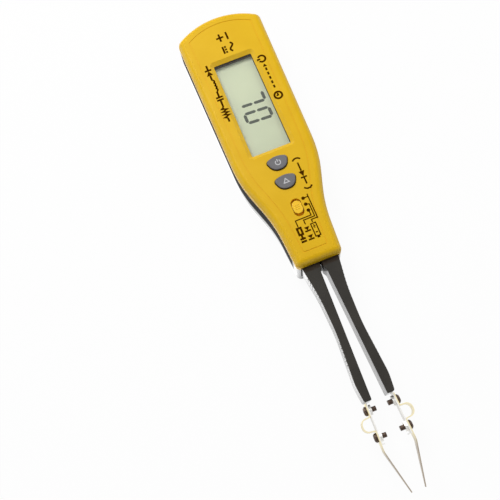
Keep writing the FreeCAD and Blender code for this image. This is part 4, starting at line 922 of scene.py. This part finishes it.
@dataclass
class FaceLegend:
    """Generic marks that are printed on the yellow face."""

    line: float = 0.5
    medium: float = 0.72
    bold: float = 0.9
    lamp_across: float = 7.9
    parts_across: float = -12.4
    sleep_across: float = 12.7
    spot_across: float = 3.75
    spot_first: float = 27.9
    spot_last: float = 22.0
    spot_count: int = 3
    spot_radius: float = 0.78

    def build(self, mouth: float, spots: SpotRow) -> None:
        """Prints the marks.

        Args:
            mouth: Place of the mouth along the frame, in metres.
            spots: Recipe for the switch's three spots.
        """
        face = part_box("top_shell")[1].z
        meshes = {}
        for draw in (
            self.switch_leaders, self.switch_symbols, self.lamp_symbol, self.part_symbols,
            self.sleep_symbols, self.input_symbols,
        ):
            sheet = InkSheet(Vector((0, mouth, face)), ACROSS, ALONG, INK)
            draw(sheet)
            meshes[draw.__name__] = sheet.mesh(draw.__name__)
        start, end = (
            (self.spot_across * MM, mouth + along * MM, face + INK / 2 * MM)
            for along in (self.spot_first, self.spot_last)
        )
        meshes["switch_spots"] = spots.mesh("switch_spots", {
            "Start": start, "End": end, "Count": self.spot_count,
            "Spot Radius": self.spot_radius * MM, "Thickness": INK * MM,
            "Material": LEGEND_INK.material(),
        })
        for name, mesh in meshes.items():
            add_piece(name, mesh, "housing", LEGEND_INK)

    def switch_leaders(self, sheet: InkSheet) -> None:
        """Lines from the switch's spots to its symbols."""
        for points in (
            [(6.05, 29.2), (6.05, 17.6), (3.3, 17.6), (3.3, 16.3)],
            [(4.4, 27.9), (6.0, 27.9)],
            [(4.4, 24.7), (5.2, 24.5), (5.2, 18.55), (0.15, 18.55), (0.15, 16.5)],
            [(3.95, 21.4), (3.95, 19.5), (-3.2, 19.5), (-3.2, 16.5)],
        ):
            sheet.stroke(points, self.line)

    def switch_symbols(self, sheet: InkSheet) -> None:
        """Resistor and capacitor, two diodes and a cell, below their leaders."""
        sheet.stroke([(-4.0, 15.9), (-2.4, 15.9), (-2.4, 12.9), (-4.0, 12.9)], self.bold, True)
        sheet.bars(-3.2, self.bold, (12.5, 11.3))
        sheet.ticks(-3.2, 1.2, self.bold, 10.9, 9.6)
        for along in (13.2, 9.3):
            sheet.plate([(-1.15, along + 2.1), (1.35, along + 2.1), (0.1, along + 0.5)])
            sheet.ticks(0.1, 1.3, self.medium, along + 0.2)
        sheet.stroke([(2.2, 15.8), (4.4, 15.8), (4.4, 9.9), (2.2, 9.9)], self.line, True)
        sheet.ticks(3.3, 0.6, self.bold, 9.4)
        sheet.ticks(3.3, 0.5, self.line, 11.6, 14.4)
        sheet.bars(3.3, self.line, (14.8, 15.2), (14.0, 13.6))

    def lamp_symbol(self, sheet: InkSheet) -> None:
        """A light-emitting diode between two round brackets, beside the buttons."""
        middle = self.lamp_across
        sheet.arc((middle, 33.6), 2.2, 215, 325, self.medium)
        sheet.arc((middle, 44.4), 2.2, 35, 145, self.medium)
        sheet.plate([(middle - 1.3, 40.0), (middle, 37.3), (middle + 1.3, 40.0)])
        sheet.ticks(middle, 1.4, self.medium, 37.0)
        sheet.bars(middle, self.medium, (33.6, 37.2), (40.1, 44.4))

    def part_symbols(self, sheet: InkSheet) -> None:
        """Resistor, capacitor, coil and diode in line, left of the display."""
        middle = self.parts_across
        wires = ((75.2, 77.3), (83.2, 87.0), (89.0, 92.0), (98.4, 101.0), (104.3, 106.8))
        sheet.bars(middle, self.bold, *wires)
        zigzag = [(middle + (1.1 if step % 2 else -1.1), 77.9 + step * 0.75) for step in range(7)]
        sheet.stroke([(middle, 77.4), *zigzag, (middle, 83.1)], self.bold)
        sheet.ticks(middle, 1.6, self.bold, 87.3, 88.7, 104.0)
        for step in range(4):
            sheet.arc((middle, 92.9 + step * 1.55), 0.78, -90, 90, self.bold * 0.9)
        sheet.plate([(middle - 1.5, 101.1), (middle + 1.5, 101.1), (middle, 103.7)])

    def sleep_symbols(self, sheet: InkSheet) -> None:
        """A clock face and a power ring with a dashed line between them, right of the display."""
        middle = self.sleep_across
        sheet.arc((middle, 79.0), 1.75, 0, 360, self.bold)
        sheet.stroke([(middle - 0.9, 79.0), (middle, 79.0), (middle, 80.2)], self.medium)
        dashes = [(83.2 + step * 2.5, 84.7 + step * 2.5) for step in range(5)]
        sheet.bars(middle, self.bold, *dashes)
        sheet.plate([(middle - 1.0, 95.4), (middle + 1.0, 95.4), (middle, 97.0)])
        sheet.arc((middle, 99.9), 1.7, 215, 505, self.bold)
        sheet.ticks(middle - 1.5, 0.8, self.bold, 99.9)

    def input_symbols(self, sheet: InkSheet) -> None:
        """Steady and alternating input signs between the jacks."""
        dashes = [(109.4 + step * 1.5, 110.4 + step * 1.5) for step in range(3)]
        sheet.bars(-1.9, self.bold, (109.4, 113.4))
        sheet.bars(-0.7, self.bold, *dashes)
        sheet.bars(-1.3, self.bold, (116.3, 120.7))
        for middle in (-2.35, -0.25):
            sheet.ticks(middle, 0.75, self.bold, 118.5)
        turns = [step / 12 for step in range(13)]
        wave = [(2.2 - 0.9 * math.sin(turn * math.tau), 109.4 + turn * 5.04) for turn in turns]
        sheet.stroke(wave, self.bold)
        sheet.bars(2.2, self.bold, (116.4, 120.6))


@dataclass
class FaceButtons:
    """Pale marks on the two grey buttons."""

    line: float = 0.42
    mark: float = 1.15

    def build(self) -> None:
        """Prints a ring on the upper button and a triangle on the lower one."""
        for button in ("upper_button", "lower_button"):
            low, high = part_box(button)
            middle = (low + high) / 2
            sheet = InkSheet(Vector((*middle.xy, high.z)), ACROSS, ALONG, THIN_INK)
            if button == "upper_button":
                sheet.arc((0, 0), self.mark, 125, 415, self.line)
                sheet.bars(0, self.line, (0.3, 1.6))
            else:
                sheet.stroke([(-1.2, -0.75), (1.2, -0.75), (0, 1.2)], self.line, True)
            name = f"{button}_mark"
            add_piece(name, sheet.mesh(name), f"{button}_body", BUTTON_INK)


@dataclass
class CrossRibs:
    """A row of ribs across a level face: from one edge, or in the middle where none is given.

    The aim is the direction along Z in which the ribs are thrown onto the face.
    """

    name: str
    node: str
    body: str
    slot: str
    finish: Finish
    count: int
    pitch: float
    length: float
    radius: float
    aim: float
    from_edge: Optional[float] = None

    def build(self, ribs: SurfaceRibs) -> None:
        """Throws the ribs onto the node."""
        low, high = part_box(self.node)
        middle = (low + high) / 2
        reach = (self.count - 1) * self.pitch * MM
        first = middle.y - reach / 2 if self.from_edge is None else low.y + self.from_edge * MM
        height = (high if self.aim < 0 else low).z - self.aim * THROW * MM
        mesh = ribs.mesh(self.name, {
            "Carrier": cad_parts[self.node], "Count": self.count,
            "Start": (middle.x, first, height), "End": (middle.x, first + reach, height),
            "Aim": (0.0, 0.0, self.aim), "Rib Axis": (1.0, 0.0, 0.0),
            "Rib Length": self.length * MM, "Rib Radius": self.radius * MM,
            "Material": self.finish.material(),
        })
        add_piece(self.name, mesh, self.body, self.finish)


KNOB_RIDGES = CrossRibs(
    "knob_ridges", "mode_knob", "mode_knob_body", "yellow_plastic", KNOB_YELLOW,
    count=3, pitch=0.9, length=2.4, radius=0.16, aim=-1.0,
)
DOOR_RIBS = CrossRibs(
    "door_ribs", "battery_door", "housing", "dark_plastic", BACK_DARK,
    count=6, pitch=1.5, length=9.0, radius=0.3, aim=1.0, from_edge=4.5,
)


@dataclass
class TweezerArm:
    """One tweezer arm with its blade, spring tip, screws and grip ribs."""

    side: Side
    blade_spread: float = 5.85
    arm_reach: float = 59.8
    arm_middle: float = 12.8
    splay: float = 1.9
    screw_places: tuple[float, float] = (3.05, 13.75)
    thread_radius: float = 0.9
    thread_ridge: float = 0.1
    thread_pitch: float = 0.4
    thread_start: float = 1.55
    thread_length: float = 1.7
    rib_rows: tuple[tuple[float, float, int], ...] = ((5.0, 15.8, 7), (35.0, 44.0, 6))
    rib_length: float = 3.84
    rib_radius: float = 0.2
    rib_rise: float = 2.6
    rib_throw: float = 16.0

    def build(self, mouth: float, ribs: SurfaceRibs, thread: ScrewThread) -> None:
        """Dresses the arm and makes its grip ribs and screw threads.

        Args:
            mouth: Place of the mouth along the frame, in metres.
            ribs: Recipe for the grip ribs.
            thread: Recipe for the threads.
        """
        label, sign = self.side.label, self.side.value
        dress(ARM_FINISHES, f"{label}_")
        for number, (first, last, count) in enumerate(self.rib_rows, 1):
            name = f"{label}_grip_ribs_{number}"
            outside, height = sign * self.rib_throw * MM, (self.arm_middle + self.rib_rise) * MM
            mesh = ribs.mesh(name, {
                "Carrier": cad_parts[f"{label}_arm_cover"], "Count": count,
                "Start": (outside, mouth - first * MM, height),
                "End": (outside, mouth - last * MM, height),
                "Aim": (-float(sign), 0.0, 0.0), "Rib Axis": (0.0, 0.0, 1.0),
                "Rib Length": self.rib_length * MM, "Rib Radius": self.rib_radius * MM,
                "Material": ARM_DARK.material(),
            })
            add_piece(name, mesh, f"{label}_arm", ARM_DARK)
        end = Vector((sign * self.blade_spread, mouth / MM - self.arm_reach, self.arm_middle))
        lean = Matrix.Rotation(math.radians(self.splay) * sign, 4, "Z")
        inward = Matrix.Rotation(math.radians(-90.0 * sign), 4, "Y")
        for number, along in enumerate(self.screw_places, 1):
            name = f"{label}_tip_thread_{number}"
            mesh = thread.mesh(name, {
                "Radius": self.thread_radius * MM, "Length": self.thread_length * MM,
                "Turns": self.thread_length / self.thread_pitch, "Ridge": self.thread_ridge * MM,
                "Material": OXIDE.material(),
            })
            start = Matrix.Translation(Vector((-sign * self.thread_start, -along, 0)) * MM)
            mesh.transform(Matrix.Translation(end * MM) @ lean @ start @ inward)
            add_piece(name, mesh, f"{label}_arm", OXIDE)


@dataclass
class Studio:
    """White bench, soft lamps and the camera at the photograph's angle."""

    camera_place: Place = (-35.9, -93.1, 288.9)
    camera_right: Place = (0.930468, -0.356329, -0.085197)
    camera_up: Place = (0.364564, 0.877417, 0.311815)
    camera_back: Place = (-0.036355, -0.321193, 0.946314)
    lens: float = 48.33
    near_clip: float = 10.0
    lamps: tuple[tuple[str, Place, float, float], ...] = (
        ("key_softbox", (-120, 360, 560), 300, 2.5), ("fill_softbox", (360, 60, 480), 300, 0.3),
    )
    paper: tuple[Colour, Colour] = ((0.93, 0.93, 0.93), (0.96, 0.96, 0.96))
    floor_size: float = 4000.0
    floor_gap: float = 0.05
    floor_glow: float = 0.95
    gleam: float = 2.6
    gleam_across: Point = (-13.0, -7.0)
    gleam_along: Point = (-82.0, -70.0)
    gleam_fade: Point = (-14.0, -4.0)
    gleam_drop: float = 0.5
    sky: float = 0.34
    sky_slope: float = 0.4
    sky_least: float = 0.25

    def build(self) -> None:
        """Adds the bench, the lamps, the sky and the camera."""
        self.add_bench()
        self.add_sky()
        for lamp in self.lamps:
            self.add_lamp(*lamp)
        self.add_camera()
        bpy.context.scene.view_settings.view_transform = "Standard"

    @staticmethod
    def seen(graph: NodeGraph, *kinds: str) -> Signal:
        """1 for rays of the named kinds, and 0 for other rays."""
        rays = (graph.node("ShaderNodeLightPath", output=f"Is {kind} Ray") for kind in kinds)
        return reduce(Signal.largest, rays)

    def add_bench(self) -> None:
        """A white bench that keeps a faint shadow, brighter left of the arms to glossy rays."""
        half = self.floor_size / 2 * MM
        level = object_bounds()[0].z - self.floor_gap * MM
        corners = ((-half, -half), (half, -half), (half, half), (-half, half))
        mesh = bpy.data.meshes.new("bench")
        mesh.from_pydata([(*corner, level) for corner in corners], [], [(0, 1, 2, 3)])
        bench = add_object("bench", mesh)
        material = bpy.data.materials.new("white_bench")
        graph = ShaderGraph(material)
        colour = graph.blend(graph.noise(1.5, 3.0), *self.paper)
        matte = graph.node("ShaderNodeBsdfDiffuse", inputs={"Color": colour})
        left = 1 - graph.ramp("X", *self.gleam_across)
        start = graph.ramp("Y", *self.gleam_along)
        drop = graph.ramp("Y", *self.gleam_fade) * self.gleam_drop
        mirrored = self.seen(graph, "Glossy") * left * start * (1 - drop)
        shine = graph.blend(mirrored, WHITE, (self.gleam,) * 3)
        glow = graph.node("ShaderNodeEmission", inputs={"Color": shine, "Strength": 1.0})
        share = self.seen(graph, "Camera", "Glossy", "Transmission") * self.floor_glow
        graph.node_out(graph.node("ShaderNodeMixShader", inputs={0: share, 1: matte, 2: glow}))
        mesh.materials.append(material)
        bench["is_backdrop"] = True

    def add_sky(self) -> None:
        """A white surround, dimmer as a light than as a background and dimmer towards the mouth."""
        world = bpy.data.worlds.new("white_surround")
        bpy.context.scene.world = world
        world.use_nodes = True
        graph = NodeGraph(world.node_tree)
        graph.tree.nodes.clear()
        toward_tail = graph.split(graph.node("ShaderNodeTexCoord", output="Generated"), "Y")
        slope = (toward_tail * self.sky_slope + 1.0).largest(self.sky_least)
        direct, mirror = self.seen(graph, "Camera", "Transmission"), self.seen(graph, "Glossy")
        around = (mirror * (1 - self.sky) + self.sky) * slope
        strength = around * (1 - direct) + direct
        inputs = {"Color": (*WHITE, 1.0), "Strength": strength}
        light = graph.node("ShaderNodeBackground", inputs=inputs)
        target = graph.tree.nodes.new("ShaderNodeOutputWorld")
        graph.tree.links.new(light.socket, target.inputs["Surface"])

    @staticmethod
    def add_lamp(name: str, place: Place, size: float, power: float) -> None:
        """Adds a square softbox that points at the middle of the tester.

        Args:
            name: The lamp's name.
            place: Its place in millimetres.
            size: Its side in millimetres.
            power: Its power in watts.
        """
        light = bpy.data.lights.new(name, "AREA")
        light.shape = "SQUARE"
        light.size = size * MM
        light.energy = power
        lamp = add_object(name, light)
        lamp.location = Vector(place) * MM
        lamp.rotation_euler = (-lamp.location).to_track_quat("-Z", "Y").to_euler()

    def add_camera(self) -> None:
        """Places the camera by its axes."""
        data = bpy.data.cameras.new("photo_camera")
        data.lens = self.lens
        data.clip_start = self.near_clip * MM
        camera = add_object("photo_camera", data)
        turn = Matrix((self.camera_right, self.camera_up, self.camera_back)).transposed().to_4x4()
        camera.matrix_world = Matrix.Translation(Vector(self.camera_place) * MM) @ turn
        bpy.context.scene.camera = camera


def main() -> None:
    """Builds and dresses every sub-assembly in order."""
    logging.basicConfig(level=logging.INFO, format="%(name)s: %(message)s")
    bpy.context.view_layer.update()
    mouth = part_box("top_shell")[0].y
    ribs, thread, spots = SurfaceRibs(), ScrewThread(), SpotRow()
    dress(NODE_FINISHES)
    DisplayReading().build(mouth)
    FaceLegend().build(mouth, spots)
    FaceButtons().build()
    KNOB_RIDGES.build(ribs)
    for side in Side:
        TweezerArm(side).build(mouth, ribs, thread)
    DOOR_RIBS.build(ribs)
    Studio().build()


if __name__ == "__main__":
    main()
